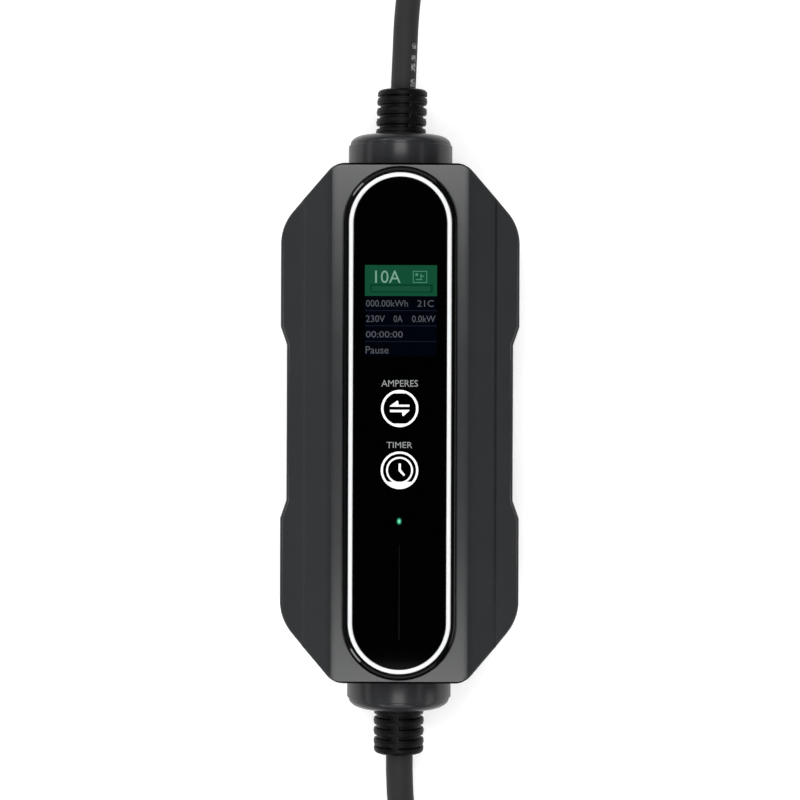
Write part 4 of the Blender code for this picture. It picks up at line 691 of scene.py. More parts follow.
HALF_WIDTH, HALF_LENGTH, DEPTH, EDGE = 45.05, 97.3, 51.0, 0.9
SEAM, WALL = 25.65, 3.2
FRONT_DROPS = (0, 3.1, 3.9, 8.3)  # below DEPTH at the strip, the step's two edges and the side
CORNERS = [
    (HALF_WIDTH - 2.4, 29.3, 0), (HALF_WIDTH, 36.1, 0), (HALF_WIDTH, HALF_LENGTH - 23.2, 18),
    (HALF_WIDTH - 20.6, HALF_LENGTH, 8.3),
]


def plan(inset):
    """The box's outline: corners offset inwards and rounded, with equal counts at any inset."""
    steps = 14
    ring = CORNERS + [(-x, y, r) for x, y, r in CORNERS[::-1]]
    ring += [(-x, -y, r) for x, y, r in CORNERS] + [(x, -y, r) for x, y, r in CORNERS[::-1]]
    corners = np.array([c[:2] for c in ring], float)
    along = np.roll(corners, -1, 0) - corners
    along /= np.linalg.norm(along, axis=1)[:, None]
    inwards = np.column_stack([-along[:, 1], along[:, 0]])
    points = []
    for i, (_, _, radius) in enumerate(ring):
        before, after = along[i - 1], along[i]
        cross = before[0] * after[1] - before[1] * after[0]
        offset = (corners[i] + inset * inwards[i]) - (corners[i - 1] + inset * inwards[i - 1])
        reach = (offset[0] * after[1] - offset[1] * after[0]) / cross
        spot = corners[i - 1] + inset * inwards[i - 1] + reach * before
        if radius == 0:
            points.append(spot)
            continue
        turn = math.asin(cross)
        arc = radius - inset
        first = spot - arc * math.tan(turn / 2) * before
        centre = first + arc * np.array((-before[1], before[0]))
        arm = first - centre
        for angle in np.linspace(0, turn, steps + 1):
            c, s = math.cos(angle), math.sin(angle)
            points.append(centre + (arm[0] * c - arm[1] * s, arm[0] * s + arm[1] * c))
    return np.array(points)


def front_height(x):
    """Height of the front: flat strip, inner facet, small step, outer facet."""
    across = [STRIP_HALF, STEP_HALF, STEP_FOOT, HALF_WIDTH]
    return np.interp(np.abs(x), across, [DEPTH - drop for drop in FRONT_DROPS])


def crossed(insets, lines):
    """Plan rings at several insets, with shared points added where the last crosses |x| = line."""
    rings = [plan(inset) for inset in insets]
    for line in sorted({value for line in lines for value in (line, -line)}):
        x = rings[-1][:, 0] - line
        ahead = np.roll(x, -1)
        for place in np.nonzero(x * ahead < 0)[0][::-1]:
            share = x[place] / (x[place] - ahead[place])
            follow = (place + 1) % len(x)
            rings = [
                np.insert(ring, place + 1, ring[place] + share * (ring[follow] - ring[place]), 0)
                for ring in rings
            ]
    return rings


def strips(ring, lines):
    """Polygons, as indices in the ring's own order, between neighbouring lines in X."""
    edges = [-1000, *sorted({value for line in lines for value in (line, -line)}), 1000]
    loops = []
    for low, high in zip(edges[:-1], edges[1:]):
        inside = np.nonzero((ring[:, 0] > low - 1e-4) & (ring[:, 0] < high + 1e-4))[0]
        loops.append(inside.tolist())
    return loops


def stadium(half_width, half_length, inset=0.0, steps=40):
    """Straight sides along Y and half-round ends, from the right side's top round to its foot."""
    radius, straight = half_width - inset, half_length - half_width
    angle = np.linspace(0, np.pi, steps + 1)
    arc = np.column_stack([radius * np.cos(angle), straight + radius * np.sin(angle)])
    return np.vstack([arc, -arc])


PANEL = (21.2, 95.85)


def front_cover():
    """Front shell: wall, rounded edge, faceted front, pocket for the panel, and the hollow.

    The edge is a quarter turn of radius r: inset r (1 - cos a), height r (1 - sin a) below the
    front. Each facet is one flat polygon between creases along X = constant.
    """
    lines = (0, STRIP_HALF, STEP_HALF, STEP_FOOT)
    lip, chamfer, pocket_floor, panel_gap = 0.12, 0.35, 48.4, 0.3
    angles = np.linspace(0, np.pi / 2, 10)
    insets = [chamfer, 0, 0, *(EDGE * (1 - np.cos(angles))), EDGE + lip]
    rings = crossed(insets, lines)
    top = front_height(rings[-1][:, 0])
    levels = [np.full(len(top), SEAM), np.full(len(top), SEAM + chamfer), top - EDGE - 4]
    levels += [top - EDGE * (1 - math.sin(a)) for a in angles] + [top]
    outside = np.vstack([np.column_stack(pair) for pair in zip(rings, levels)])
    count = len(top)
    faces = lattice(len(rings), count)
    base = (len(rings) - 1) * count
    ring = rings[-1]

    half, straight = PANEL[0] + panel_gap, PANEL[1] - PANEL[0]
    pocket_rows = []
    for a in np.linspace(0, np.pi / 2, 5):
        reach = half + lip * (1 - math.sin(a))
        pocket_rows.append(level(stadium(reach, reach + straight), DEPTH - lip * (1 - math.cos(a))))
    pocket_rows.append(level(pocket_rows[-1][:, :2], pocket_floor))
    size = len(pocket_rows[0])
    start = len(outside)
    pocket = np.vstack(pocket_rows)
    faces += [[i + start for i in quad] for quad in lattice(len(pocket_rows), size)]
    faces.append([start + (len(pocket_rows) - 1) * size + i for i in range(size)])

    order = np.arange(size)
    quarter = size // 2
    top_index, foot_index = quarter // 2, quarter + quarter // 2
    right = [*order[top_index::-1], *order[:foot_index - 1:-1]]
    left = [*order[foot_index:top_index - 1:-1]]
    for loop in strips(ring, lines):
        xs = ring[loop, 0]
        loop = [base + i for i in loop]
        if xs.min() > -1e-3 and xs.max() < STRIP_HALF + 0.01:
            ahead = ring[[i - base for i in loop], 1] > 0
            at = int(np.nonzero((np.abs(xs) < 1e-3) & ahead)[0][0])
            loop = loop[:at + 1] + [start + i for i in right] + loop[at + 1:]
        elif xs.max() < 1e-3 and xs.min() > -STRIP_HALF - 0.01:
            at = [k for k, i in enumerate(loop) if abs(ring[i - base, 0]) < 1e-3]
            foot = [k for k in at if ring[loop[k] - base, 1] < 0][0]
            loop = loop[:foot + 1] + [start + i for i in left] + loop[foot + 1:]
        faces.append(loop)

    ceiling_height, ceiling_half = 46.8, 28.61
    inner_lines = (ceiling_half, STEP_HALF, STEP_FOOT)
    inner = crossed([WALL], inner_lines)[0]
    ceiling = np.minimum(ceiling_height, front_height(inner[:, 0]) - WALL - 0.2)
    hollow = np.vstack([level(inner, SEAM), np.column_stack([inner, ceiling])])
    shift = start + len(pocket)
    faces += [[i + shift for i in quad] for quad in lattice(2, len(inner))]
    faces += [[shift + len(inner) + i for i in loop] for loop in strips(inner, inner_lines)]
    points = np.vstack([outside, pocket, hollow])
    rim_faces = rim_band(count, shift, len(inner), points)
    item = solid("front_cover", points, faces + rim_faces, SHELL, crease=10.5)
    return settle(item, "shell_plastic", "front_shell")


def rim_band(outer_count, inner_start, inner_count, points):
    """Triangles between the outer and inner rings at the seam, walked side by side by angle."""
    outer = points[:outer_count]
    inner = points[inner_start:inner_start + inner_count]
    turn_outer = np.unwrap(np.arctan2(outer[:, 1], outer[:, 0]))
    turn_inner = np.unwrap(np.arctan2(inner[:, 1], inner[:, 0]))
    faces, i, j = [], 0, 0
    while i < outer_count or j < inner_count:
        next_outer = turn_outer[(i + 1) % outer_count] + 2 * np.pi * ((i + 1) // outer_count)
        next_inner = turn_inner[(j + 1) % inner_count] + 2 * np.pi * ((j + 1) // inner_count)
        a, b = i % outer_count, inner_start + j % inner_count
        if j >= inner_count or (i < outer_count and next_outer < next_inner):
            faces.append([a, (i + 1) % outer_count, b])
            i += 1
        else:
            faces.append([a, inner_start + (j + 1) % inner_count, b])
            j += 1
    return faces


front_cover()
settle(refined("rear_shell", "rear_cover", SHELL, 20, 0.3), "shell_plastic", "rear_shell")


# Front panel

GLASS_TOP, PANEL_FOOT = 50.3, 48.7


def panel_outline(inset):
    """The panel's stadium, drawn in by inset."""
    return stadium(*PANEL, inset, steps=64)


def bezel():
    """Black ring: a flat outer bevel at 23 degrees, then a level band with rounded edges."""
    slope = eased([(0.0, PANEL_FOOT), (0.0, 50.2, 0.05), (1.12, 50.68, 0.1), (1.75, 50.62, 0.08),
                   (1.75, PANEL_FOOT)], 4)
    points, faces = swept(panel_outline, slope)
    settle(solid("bezel_ring", points, faces, BEZEL, 8), "gloss_black", "panel_bezel")


def trim():
    """White ring, slightly crowned."""
    crown = [(2.05 + 1.5 * s, 50.3 + 0.2 * math.sin(math.pi * s)) for s in np.linspace(0, 1, 9)]
    points, faces = swept(panel_outline, [(2.05, PANEL_FOOT), *crown, (3.55, PANEL_FOOT)])
    settle(solid("trim_ring", points, faces, WHITE, 40), "trim_white", "panel_trim")


def window():
    """Black glass: a flat stadium with a finely rounded edge."""
    rows = [(3.85, PANEL_FOOT), (3.85, 50.15), (3.89, 50.25), (4.0, GLASS_TOP), (4.5, GLASS_TOP)]
    rings = [level(panel_outline(inset), height) for inset, height in rows]
    faces = capped(len(rings), len(rings[0]))
    settle(solid("window_glass", np.vstack(rings), faces, BLACK, 20), "gloss_black", "panel_window")


bezel()
trim()
window()

PIXEL = 0.3738  # of the photograph's frame, at the glass
FOOT = (400.0, 351.0, 27.0)  # a place in the photograph's frame, and its Y in millimetres


def spot(px, py):
    """Millimetres on the glass for a place in the photograph's frame."""
    return (px - FOOT[0]) * PIXEL, FOOT[2] + (FOOT[1] - py) * PIXEL


def plate(outline, low, high):
    """A thin prism over an outline."""
    outline = np.asarray(outline, float)
    return np.vstack([level(outline, low), level(outline, high)]), capped(2, len(outline))


def bar(x0, y0, x1, y1):
    """A rectangle's corners."""
    return [(x0, y0), (x1, y0), (x1, y1), (x0, y1)]


def pixels(x0, y0, x1, y1):
    """A bar between two places in the photograph's frame."""
    (a, b), (c, d) = spot(x0, y1), spot(x1, y0)
    return bar(a, b, c, d)


def hoop(x, y, outer, inner, low, high):
    """A flat ring as points and faces."""
    place = Matrix.Translation((x, y, 0))
    return revolved([(outer, low), (outer, high), (inner, high), (inner, low)], place, 72)


def words(text, height, left, middle, low, thick, width, align="LEFT"):
    """Lettering on the glass as points and faces: a capital's height, and the whole width."""
    curve = bpy.data.curves.new("words", "FONT")
    curve.body = text
    curve.align_x = align
    curve.align_y = "CENTER"
    curve.size = height / 0.7
    curve.extrude = thick / 2
    curve.resolution_u = 3
    holder = shown("words", curve)
    graph = bpy.context.evaluated_depsgraph_get()
    mesh = bpy.data.meshes.new_from_object(holder.evaluated_get(graph))
    points = np.zeros(len(mesh.vertices) * 3)
    mesh.vertices.foreach_get("co", points)
    points = points.reshape(-1, 3)
    faces = [list(face.vertices) for face in mesh.polygons]
    bpy.data.objects.remove(holder)
    points[:, 0] *= width / (points[:, 0].max() - points[:, 0].min())
    low_x, high_x = points[:, 0].min(), points[:, 0].max()
    points[:, 0] -= low_x if align == "LEFT" else (high_x + low_x) / 2
    points[:, 1] -= (points[:, 1].max() + points[:, 1].min()) / 2
    return points + (left, middle, low + thick / 2), faces


def printed(name, parts, finish, slot):
    """Thin plates on the glass, joined as one piece."""
    points, faces = gathered(parts)
    return settle(solid(name, points, faces, finish, 20), slot)


def field(name, corners, low, high, finish, slot="screen_glass"):
    """One flat field over a bar between two places in the photograph's frame."""
    printed(name, [plate(pixels(*corners), low, high)], finish, slot)


NAVY = glowing("screen_navy", (0.0006, 0.0012, 0.004))
GREEN = glowing("screen_green", (0.007, 0.082, 0.038))
SLOT = glowing("screen_slot", (0.002, 0.052, 0.024))
LEVEL = glowing("screen_level", (0.010, 0.084, 0.040))
RULE = glowing("screen_rule", (0.008, 0.011, 0.020))
TEXT = glowing("screen_text", (0.10, 0.105, 0.125))
HEAD_TEXT = glowing("screen_head_text", (0.21, 0.42, 0.31))
SIGN = glowing("screen_sign", (0.075, 0.27, 0.17))
PRINT = polished("key_print", (0.90, 0.91, 0.91), 0.3)
LETTERS = polished("key_letters", (0.22, 0.23, 0.23), 0.4)
HALO = glowing("lamp_halo", (0.02, 0.22, 0.11))
LAMP = glowing("lamp_green", (0.20, 0.95, 0.55))
FAINT = polished("faint_line", (0.0022, 0.0024, 0.0026), 0.2, Specular_IOR_Level=0.05)


def screen():
    """The lit display: ground, green head, rules, a level bar and plain readings."""
    low = GLASS_TOP + 0.005
    up, thick = low + 0.015, 0.03
    field("screen_ground", (364.7, 265.1, 436.8, 356), low - 0.1, low, NAVY)
    field("screen_head", (364.7, 265.1, 436.8, 296), low - 0.05, up, GREEN)
    rules = [plate(pixels(364.9, y - 0.45, 436.6, y + 0.45), low - 0.05, up)
             for y in (310.6, 325.8, 341.5)]
    printed("screen_rules", rules, RULE, "screen_glass")
    field("screen_slot", (370.2, 284.3, 432.8, 292.6), up - 0.02, up + 0.01, SLOT)
    field("screen_level", (371.8, 286.0, 430.2, 291.3), up, up + 0.02, LEVEL)
    reading = words("10A", 4.7, *spot(374.9, 276.8), up, thick, 9.5)
    printed("screen_reading", [reading], HEAD_TEXT, "screen_glass")
    marks = []
    for corners in (
        (412.6, 270.9, 426.9, 271.7), (412.6, 282.1, 426.9, 282.9), (412.6, 271.7, 413.4, 282.1),
        (426.1, 271.7, 426.9, 282.1), (415.2, 273.2, 417.8, 276), (415.5, 279, 422, 280),
        (420.2, 273.5, 421.2, 279), (421.2, 275.6, 423.8, 276.6),
    ):
        marks.append(plate(pixels(*corners), up, up + thick))
    printed("screen_sign", marks, SIGN, "screen_glass")
    rows = []
    for text, x0, x1, y, tall in (
        ("000.00kWh", 365.8, 407.8, 303.4, 2.5), ("21C", 417.2, 433.6, 303.4, 2.5),
        ("230V", 365.8, 384.8, 318.8, 2.5), ("0A", 393.5, 402.4, 318.8, 2.5),
        ("0.0kW", 411.9, 435.2, 318.8, 2.5), ("00:00:00", 365.8, 402.8, 334.4, 2.4),
        ("Pause", 365.6, 388.6, 350.0, 2.8),
    ):
        rows.append(words(text, tall, *spot(x0, y), low + 0.002, thick, (x1 - x0) * PIXEL))
    printed("screen_readings", rows, TEXT, "screen_glass")


def flattened_ring(x, y, outer, inner, flat, low, high):
    """A flat ring whose opening is a circle cut level at flat above and below its centre."""
    count = 96
    angle = np.linspace(0, 2 * np.pi, count, endpoint=False)
    cosine, sine = np.cos(angle), np.sin(angle)
    outside = np.column_stack([x + outer * cosine, y + outer * sine])
    inside = np.column_stack([x + inner * cosine, y + np.clip(inner * sine, -flat, flat)])
    rows = [level(*row) for row in ((outside, low), (outside, high), (inside, high), (inside, low))]
    return np.vstack(rows), lattice(4, count, closed=True)


def keys():
    """The two printed keys: rings, two opposed arrows, a clock, and their words."""
    low, high = GLASS_TOP + 0.002, GLASS_TOP + 0.03

    x, y = spot(399.95, 408.5)
    parts = [flattened_ring(x, y, 6.95, 6.08, 5.65, low, high)]
    upper = [(390, 406.7), (409.7, 406.7), (409.7, 404.7), (398.7, 404.7), (398.4, 401.3),
             (397.4, 400.7), (390.3, 405.8)]
    lower = [(390.2, 409.8), (409.8, 409.8), (409.6, 410.6), (403.6, 416.1), (402.6, 415.6),
             (402.3, 412.2), (390.2, 412.2)]
    for outline in (upper, lower):
        parts.append(plate([spot(a, b) for a, b in outline], low, high))
    printed("key_current_print", parts, PRINT, "trim_white")

    x, y = spot(399.95, 470.3)
    parts = [hoop(x, y, 7.03, 6.2, low, high), hoop(x, y, 5.03, 4.35, low, high)]
    hands = [(398.9, 463.5), (401.2, 463.5), (401.3, 469.6), (405.6, 474.8), (404.2, 476.1),
             (398.9, 470.9)]
    parts.append(plate([spot(a, b) for a, b in hands], low, high))
    angle = np.linspace(math.radians(218), math.radians(322), 32)
    foot = [(x + 6.95 * math.cos(a), y + 6.95 * math.sin(a)) for a in angle]
    parts.append(plate(foot, low, high + 0.008))
    printed("key_timer_print", parts, PRINT, "trim_white")

    labels = [words("AMPERES", 2.5, *spot(399.8, 383.4), low, 0.03, 13.7, "CENTER"),
              words("TIMER", 2.3, *spot(399.7, 445), low, 0.03, 9.6, "CENTER")]
    printed("key_words", labels, LETTERS, "trim_white")


def lamp():
    """The green status lamp in its halo, and the unlit line under it."""
    x, y = spot(399.7, 521.3)
    angle = np.linspace(0, 2 * np.pi, 32, endpoint=False)
    for name, wide, tall, high, finish in (("lamp_halo", 0.95, 1.3, 0.02, HALO),
                                           ("lamp_spot", 0.5, 0.72, 0.04, LAMP)):
        oval = np.column_stack([x + wide * np.cos(angle), y + tall * np.sin(angle)])
        printed(name, [plate(oval, GLASS_TOP - 0.05, GLASS_TOP + high)], finish, "clear_plastic")
    field("lamp_line", (399.6, 545, 400.3, 640), GLASS_TOP - 0.05, GLASS_TOP + 0.01, FAINT,
          "gloss_black")


screen()
keys()
lamp()


# End caps and boots

CAP_LENGTH, BOOT_END, TIP = 12.4, 30.0, 1.6


def end_frame(sign):
    """Local Z runs out of the box's end along its lead, from the end face."""
    return frame_along((0, sign * HALF_LENGTH, AXIS_HEIGHT), (0, sign, 0))


def end_cap(name, node, sign):
    """Turned cap: drum, fine groove, then a shoulder that is a quarter of an ellipse."""
    profile = list(map(tuple, eased([
        (9.9, -6.0), (17.0, -6.0, 0.3), (17.0, -3.5, 0.3), (13.0, -3.5, 0), (13.0, 0.3, 0),
        (19.9, 0.3, 0.4), (19.9, 8.3, 0.15), (19.3, 8.4, 0.1), (19.3, 8.8),
    ], 4)))
    for angle in np.linspace(0, np.pi / 2, 16)[1:]:
        profile.append((19.3 - 5.6 * (1 - math.cos(angle)), 8.8 + 3.6 * math.sin(angle)))
    profile += [(10.3, CAP_LENGTH), (9.9, CAP_LENGTH - 0.3)]
    item = turned(name, profile, end_frame(sign), CAP, 120, 25)
    settle(item, "cap_plastic", node)


def boot(name, node, sign, lean, spine_turn):
    """Slotted boot: ribs round a sleeve, with slots that stop short of two long spines.

    Radius = 9.45 + a rib's crown of 0.22 - 1.1 in a slot with eased edges, except at a spine,
    less a quarter circle at the tip. The boot leans sideways by lean for each unit past the cap.
    """
    start, end, sides = CAP_LENGTH, BOOT_END, 120
    quarter = np.linspace(0, np.pi / 2, 9)[1:]
    rows = np.r_[np.linspace(start - 0.4, end - TIP, 150), end - TIP + TIP * np.sin(quarter)]
    turn = np.linspace(0, 2 * np.pi, sides, endpoint=False)
    pitch = 3.96
    phase = (rows - start) % pitch
    inside = (rows > start + 1.2) & (rows < end - 2.4)
    slot = np.where(inside, ease(2.45, 2.75, phase) * (1 - ease(3.65, pitch, phase)), 0)
    crown = np.where(inside, 0.22 * np.sin(np.pi * np.clip(phase / 2.2, 0, 1)), 0.1)
    away = np.abs((turn - spine_turn + np.pi / 2) % np.pi - np.pi / 2)
    spine = 1 - ease(0.16, 0.21, away)
    cut_share = slot[:, None] * (1 - spine[None, :])
    into_tip = np.clip(rows - end + TIP, 0, TIP)
    tip = TIP - np.sqrt(TIP**2 - into_tip**2)
    radius = 9.45 + crown[:, None] - 1.1 * cut_share - tip[:, None]
    x, y = radius * np.cos(turn), radius * np.sin(turn)
    grid = np.stack([x, y, np.broadcast_to(rows[:, None], x.shape)], -1).reshape(-1, 3)
    inner = [(9.4, start - 0.4), (9.6, start - 0.4), (9.6, -6.3), (12.0, -6.3), (12.0, -8.8),
             (0, -8.8)]
    back = revolved(inner[::-1], Matrix.Identity(4), sides)
    close = np.array([(0.0, 0.0, end)])
    count = len(grid)
    faces = lattice(len(rows), sides)
    last = count - sides
    faces += [[last + i, last + (i + 1) % sides, count] for i in range(sides)]
    shift = count + 1
    faces += [[i + shift for i in quad] for quad in lattice(len(inner), sides)]
    first_back = shift + (len(inner) - 1) * sides
    faces += [[first_back + i, first_back + (i + 1) % sides, (i + 1) % sides, i]
              for i in range(sides)]
    points = placed(np.vstack([grid, close, back[0]]), end_frame(sign))
    points[:, 0] += lean * np.clip(points[:, 1] * sign - HALF_LENGTH - CAP_LENGTH, 0, None)
    settle(solid(name, points, faces, RUBBER, 35), "boot_rubber", node)


end_cap("mains_cap", "mains_end_cap", 1)
end_cap("vehicle_cap", "vehicle_end_cap", -1)
boot("mains_gland", "mains_boot", 1, 0.042, math.pi / 2 + 0.49)
boot("vehicle_gland", "vehicle_boot", -1, 0.0, math.pi / 2 + 0.157)


# Ties

def tie(name, node, sign):
    """A webbing band round one long side: a rounded section carried round a rounded rectangle."""
    half, low, high = 10.75, BAND, HANK_TOP + 0.3
    loop = eased([
        (-half, 30), (-half, high, 2.2), (half, high, 2.2), (half, low, 2.2), (-half, low, 2.2),
        (-half, 30),
    ], 8)[:-1]
    ahead = np.roll(loop, -1, 0) - np.roll(loop, 1, 0)
    ahead /= np.linalg.norm(ahead, axis=1)[:, None]
    outwards = np.column_stack([-ahead[:, 1], ahead[:, 0]])
    section = eased([(0.05, 0), (0.05, 8, 0.3), (1.45, 8, 0.5), (1.45, -8, 0.5), (0.05, -8, 0.3),
                     (0.05, 0)], 4)[:-1]
    middle = (HANK_X + sign * (TURN_RADIUS - PITCH / 2), HANK_Y - STRAIGHT / 2)
    rows = []
    for step, width in section:
        ring = loop + outwards * step
        rows.append(np.column_stack([
            middle[0] + ring[:, 0], np.full(len(ring), middle[1] + width), ring[:, 1]
        ]))
    points = np.vstack(rows)
    item = solid(name, points, lattice(len(rows), len(loop), closed=True), FABRIC, 40)
    return settle(item, "tie_fabric", node)


ties = [tie("tie_right", "vehicle_tie_1", 1), tie("tie_left", "vehicle_tie_2", -1)]


# Mains plug

RIB = ((0.04, 0.35), (0.12, 0.0), (0.5, 0.0), (0.58, 0.35), (0.64, 1.0), (0.94, 1.0))


def ribs(start, end, length, count, depth):
    """Tapered relief: ribs with rounded crowns, from the tip at nought to the root."""
    line = []
    for k in range(count):
        for share, sunk in RIB:
            height = length * (k + share) / count
            line.append((start + (end - start) * height / length - sunk * depth, height))
    return line


def plug():
    """Round moulded plug on its side: relief, tapered body with a grip, pins and earth clips."""
    place = frame_along((33, 264, 20.2), (0, 1, 0), up=(1, 0, 0))
    length = 25.7
    relief_line = [(0, 0), *ribs(6.8, 8.5, length, 6, 1.0), (7.6, length), (0, length)]
    relief = turned("plug_relief", relief_line, place, RUBBER, 72, 35)
    body_line = eased([
        (0, 26), (12.5, 26, 1.5), (13.6, 31, 4), (17.0, 38, 3), (17.6, 41.5, 1.2),
        (19.5, 44.2, 1.2), (19.5, 61.2, 0.8), (18.2, 62, 0.4), (17.6, 62, 0.2),
        (17.2, 61.3, 0.2), (0, 61.3),
    ], 6)
    body = turned("plug_housing", body_line, place, RUBBER, 120, 30)
    cutters = []
    for sign in (1, -1):
        seat = sign * 17.2
        low, high = sorted((seat, sign * 23))
        points, faces = plate(bar(-2.8, low, 2.8, high), 45.9, 66)
        cutters.append(solid("clip_seat", placed(points, place), faces, RUBBER))
    hole = place @ Matrix.Translation((0, 10, 0))
    cutters.append(turned("earth_hole", [(0, 50), (2.5, 50), (2.5, 66), (0, 66)], hole, RUBBER, 32))
    carved(body, cutters)
    pieces = [relief, body]
    settle(relief, "boot_rubber", "plug_boot")
    settle(body, "boot_rubber", "plug_body")
    pin_line = eased([(0, 56), (2.4, 56, 0), (2.4, 79.0, 1.2), (1.2, 81, 0.6), (0, 81)], 6)
    for name, sign in (("pin_live", 1), ("pin_neutral", -1)):
        pin = turned(name, pin_line, place @ Matrix.Translation((sign * 9.5, 0, 0)), NICKEL, 48)
        pieces.append(settle(pin, "contact_nickel", f"plug_{name}"))
    for index in (1, 2):
        clip = refined(f"plug_earth_clip_{index}", f"earth_clip_{index}", NICKEL, 25, 0.2)
        pieces.append(settle(clip, "contact_nickel", f"plug_earth_clip_{index}"))
    return pieces


plug_pieces = plug()


# Vehicle connector

NOSE_START, NOSE_RIM = 138.3, 188.3


def super_ring(half_x, half_y, height, power, count):
    """Points on |x/a|^n + |y/b|^n = 1 at one height."""
    angle = np.linspace(0, 2 * np.pi, count, endpoint=False) + np.pi / 2
    c, s = np.cos(angle), np.sin(angle)
    x = half_x * np.sign(c) * np.abs(c) ** (2 / power)
    y = half_y * np.sign(s) * np.abs(s) ** (2 / power)
    return level(np.column_stack([x, y]), height)


def handle(place):
    """The grip in two halves: rings swell from the boot to the nose, with a seam between."""
    stations = np.array([
        (34.3, 14.0, 14.0), (36.3, 15.5, 15.5), (60.3, 17.0, 17.5), (84.2, 17.5, 19.0),
        (98.8, 19.3, 20.8), (113.3, 23.6, 24.4), (127.9, 27.5, 27.7), (138.0, 28.0, 28.0),
    ])
    rows = np.linspace(34.3, 138.0, 70)
    widths = [np.interp(rows, stations[:, 0], stations[:, k]) for k in (1, 2)]
    kernel = np.array([1, 2, 3, 2, 1]) / 9
    halves = [np.convolve(np.pad(w, 2, "edge"), kernel, "valid") for w in widths]
    count, seam = 96, 0.15
    made = []
    for end, sign in (("left", -1), ("right", 1)):
        grid = np.stack([super_ring(a, b, t, 2.3, count) for t, a, b in zip(rows, *halves)])
        half = count // 2
        columns = np.arange(half + 1) if sign < 0 else (np.arange(half + 1) + half) % count
        side = grid[:, columns]
        side[..., 0] = sign * np.maximum(np.abs(side[..., 0]), seam)
        points = placed(side.reshape(-1, 3), place)
        item = solid(f"grip_{end}", points, capped(len(rows), half + 1), CONNECTOR, 35)
        made.append(settle(item, "connector_black", f"handle_shell_{end}"))
    return made


def d_ring(radius, flat, inset):
    """A circle with its top cut off by a flat, eased down by 0.3 mm towards the flat's ends."""
    radius, flat = radius - inset, flat - inset
    start = math.asin(flat / radius)
    span = math.pi + 2 * start
    angle = math.pi - start + np.linspace(0, span, 90)
    points = np.column_stack([radius * np.cos(angle), radius * np.sin(angle)])
    points[:, 1] -= 0.315 * ease(flat - 3.0, flat + 0.5, points[:, 1])
    return points


def nose(place):
    """Shroud with a flat top, open at the front, on a round collar."""
    start, rim = NOSE_START, NOSE_RIM
    rows = [(0, start + 0.3), (0, rim - 1.2), (0.35, rim - 0.35), (1.1, rim), (1.6, rim),
            (2.35, rim - 0.35), (2.7, rim - 1.2), (2.7, rim - 36)]
    rings = [level(d_ring(SHROUD_RADIUS, SHROUD_FLAT, inset), height) for inset, height in rows]
    shroud = (np.vstack(rings), capped(len(rings), len(rings[0])))
    collar = revolved(eased([
        (0, start), (28.4, start, 0.8), (SHROUD_RADIUS, start + 7, 0.8), (0, start + 7)], 5),
        Matrix.Identity(4), 96)
    points, faces = gathered([shroud, collar])
    item = solid("nose_shroud", placed(points, place), faces, CONNECTOR, 35)
    return settle(item, "connector_black", "connector_nose")


def contacts(place):
    """Grey insert with seven bored towers, and the bright sleeves in their bores."""
    rim, floor = NOSE_RIM, 152.6
    base = plate(d_ring(SHROUD_RADIUS, SHROUD_FLAT, 3.0), floor, floor + 3)
    towers, sleeves = [base], []
    spots = [(-16.6, 0), (0, 0), (16.6, 0), (-8.3, -14.2), (8.3, -14.2)]
    spots = [(x, y, 6.4, 3.1) for x, y in spots] + [(-7, 12.2, 4.4, 1.7), (7, 12.2, 4.4, 1.7)]
    for x, y, outer, bore in spots:
        at = Matrix.Translation((x, y, 0))
        towers.append(revolved(eased([
            (bore, floor + 3), (outer, floor + 3, 0), (outer, rim - 3, 0.6), (bore, rim - 3, 0.4),
            (bore, floor + 6)], 5), at, 48))
        sleeves.append(revolved([
            (bore - 0.15, floor + 6), (bore - 0.15, rim - 7), (bore - 0.6, rim - 7),
            (bore - 0.6, floor + 7), (0, floor + 7), (0, floor + 6)][::-1], at, 40))
    made = []
    points, faces = gathered(towers)
    made.append(settle(solid("contact_towers", placed(points, place), faces, INSERT, 30),
                       "insert_grey", "contact_insert"))
    points, faces = gathered(sleeves)
    made.append(settle(solid("contact_sleeves", placed(points, place), faces, NICKEL, 30),
                       "contact_nickel"))
    return made


def connector():
    """Every piece of the connector at the lead's end, from its ribbed relief to its contacts."""
    place = loop_frame()
    relief = turned("connector_relief", [
        (0, 0), *ribs(8.2, 12.5, 34, 7, 1.3), (11.4, 34), (10.3, 34), (10.3, 39.8), (0, 39.8),
    ], place, RUBBER, 72, 35)
    settle(relief, "boot_rubber", "connector_boot")
    return [relief, *handle(place), nose(place), *contacts(place)]


connector_pieces = connector()


# The nodes inside

def dress_nodes():
    """Gives every CAD node that still shows its own finish, by its slot in the record."""
    for entry in frame["record"]["subparts"]:
        item = NODES[entry["node"]]
        finish = FINISHES[entry["material_slot"]]
        if item.material_slots:
            item.material_slots[0].material = finish.material
        else:
            item.data.materials.append(finish.material)


dress_nodes()


# Studio

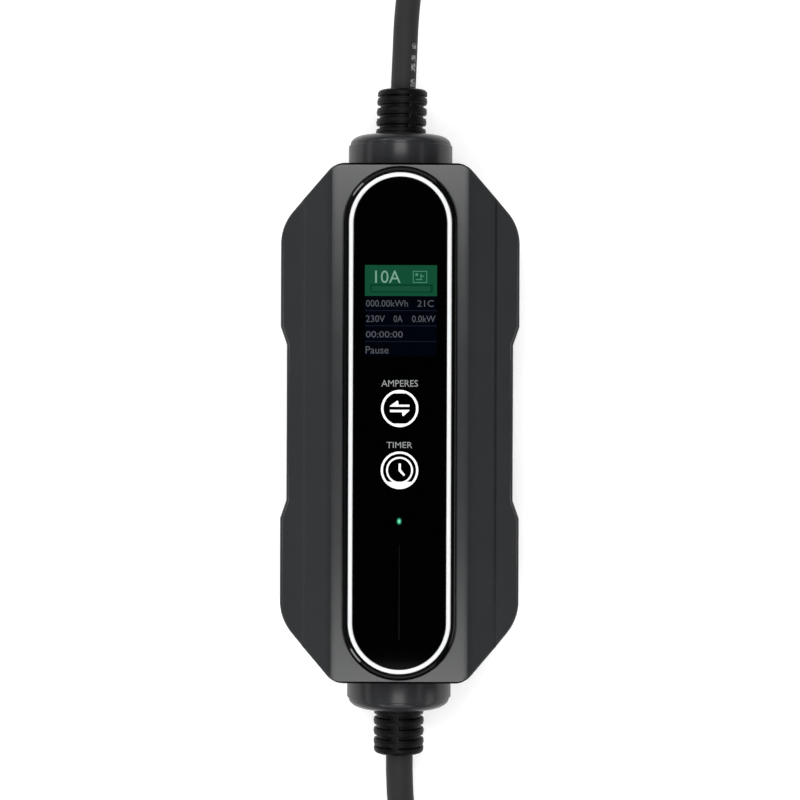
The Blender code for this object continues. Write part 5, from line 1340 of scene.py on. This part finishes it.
FLOOR_REACH = 3.0
SOFT_BOXES = (
    ("near_top", (-0.01, 0.32, 1.0), (-0.01, 0.32, 0), (0.44, 0.30), 3.3),
    ("near_bottom", (-0.01, -0.37, 1.0), (-0.01, -0.37, 0), (0.44, 0.30), 2.9),
    ("far_top", (0, 0.95, 0.95), (0, 0, 0), (1.3, 0.7), 5.2),
    ("far_bottom", (0, -0.95, 0.95), (0, 0, 0), (1.3, 0.7), 5.2),
    ("wall_left", (-1.0, 0, 1.0), (0, 0, 0), (1.6, 0.5), 1.0),
    ("card_left", (-1.3, 0, 0.42), (0, 0, 0), (1.8, 0.25), 3.0),
    ("card_right", (1.06, -0.1, 1.0), (0, 0, 0), (1.2, 0.09), 1.2),
    ("card_cap", (1.1, -0.52, 0.36), (0, -0.1, 0.02), (0.5, 0.4), 1.7),
    ("glint_top", (-0.83, 0.83, 1.0), (-0.02, 0.09, 0.05), (0.30, 0.14), 2.5),
    ("glint_bottom", (-0.83, -0.87, 1.0), (-0.02, -0.09, 0.05), (0.30, 0.14), 2.6),
)


def area_light(name, place, target, size, power):
    """A white rectangular soft box at a place, aimed at a target, in metres and watts."""
    lamp_data = bpy.data.lights.new(name, "AREA")
    lamp_data.shape = "RECTANGLE"
    lamp_data.size, lamp_data.size_y = size
    lamp_data.energy = power
    item = shown(name, lamp_data)
    item.location = place
    item.rotation_euler = (Vector(target) - Vector(place)).to_track_quat("-Z", "Y").to_euler()


def studio():
    """A pale floor, soft boxes over and beyond the ends, narrow side cards and a dim even sky."""
    world = bpy.data.worlds.new("studio")
    world.use_nodes = True
    world.node_tree.nodes["Background"].inputs[0].default_value = (1, 1, 1, 1)
    world.node_tree.nodes["Background"].inputs[1].default_value = 0.14
    bpy.context.scene.world = world
    for row in SOFT_BOXES:
        area_light(*row)
    mesh = bpy.data.meshes.new("floor")
    corners = level(np.array(bar(-FLOOR_REACH, -FLOOR_REACH, FLOOR_REACH, FLOOR_REACH)), -0.0001)
    mesh.from_pydata(corners.tolist(), [], [(0, 1, 2, 3)])
    pale = Finish("pale_floor", (0.93, 0.93, 0.93), 0.9)
    cloud = pale.noise(60, 2)
    pale.set(Base_Color=pale.blend((0.925, 0.925, 0.925), (0.935, 0.935, 0.935), cloud),
             Specular_IOR_Level=0.1, Emission_Color=(1, 1, 1, 1), Emission_Strength=0.34)
    mesh.materials.append(pale.material)
    shown("floor", mesh)
    bpy.context.scene.view_settings.view_transform = "Standard"


studio()
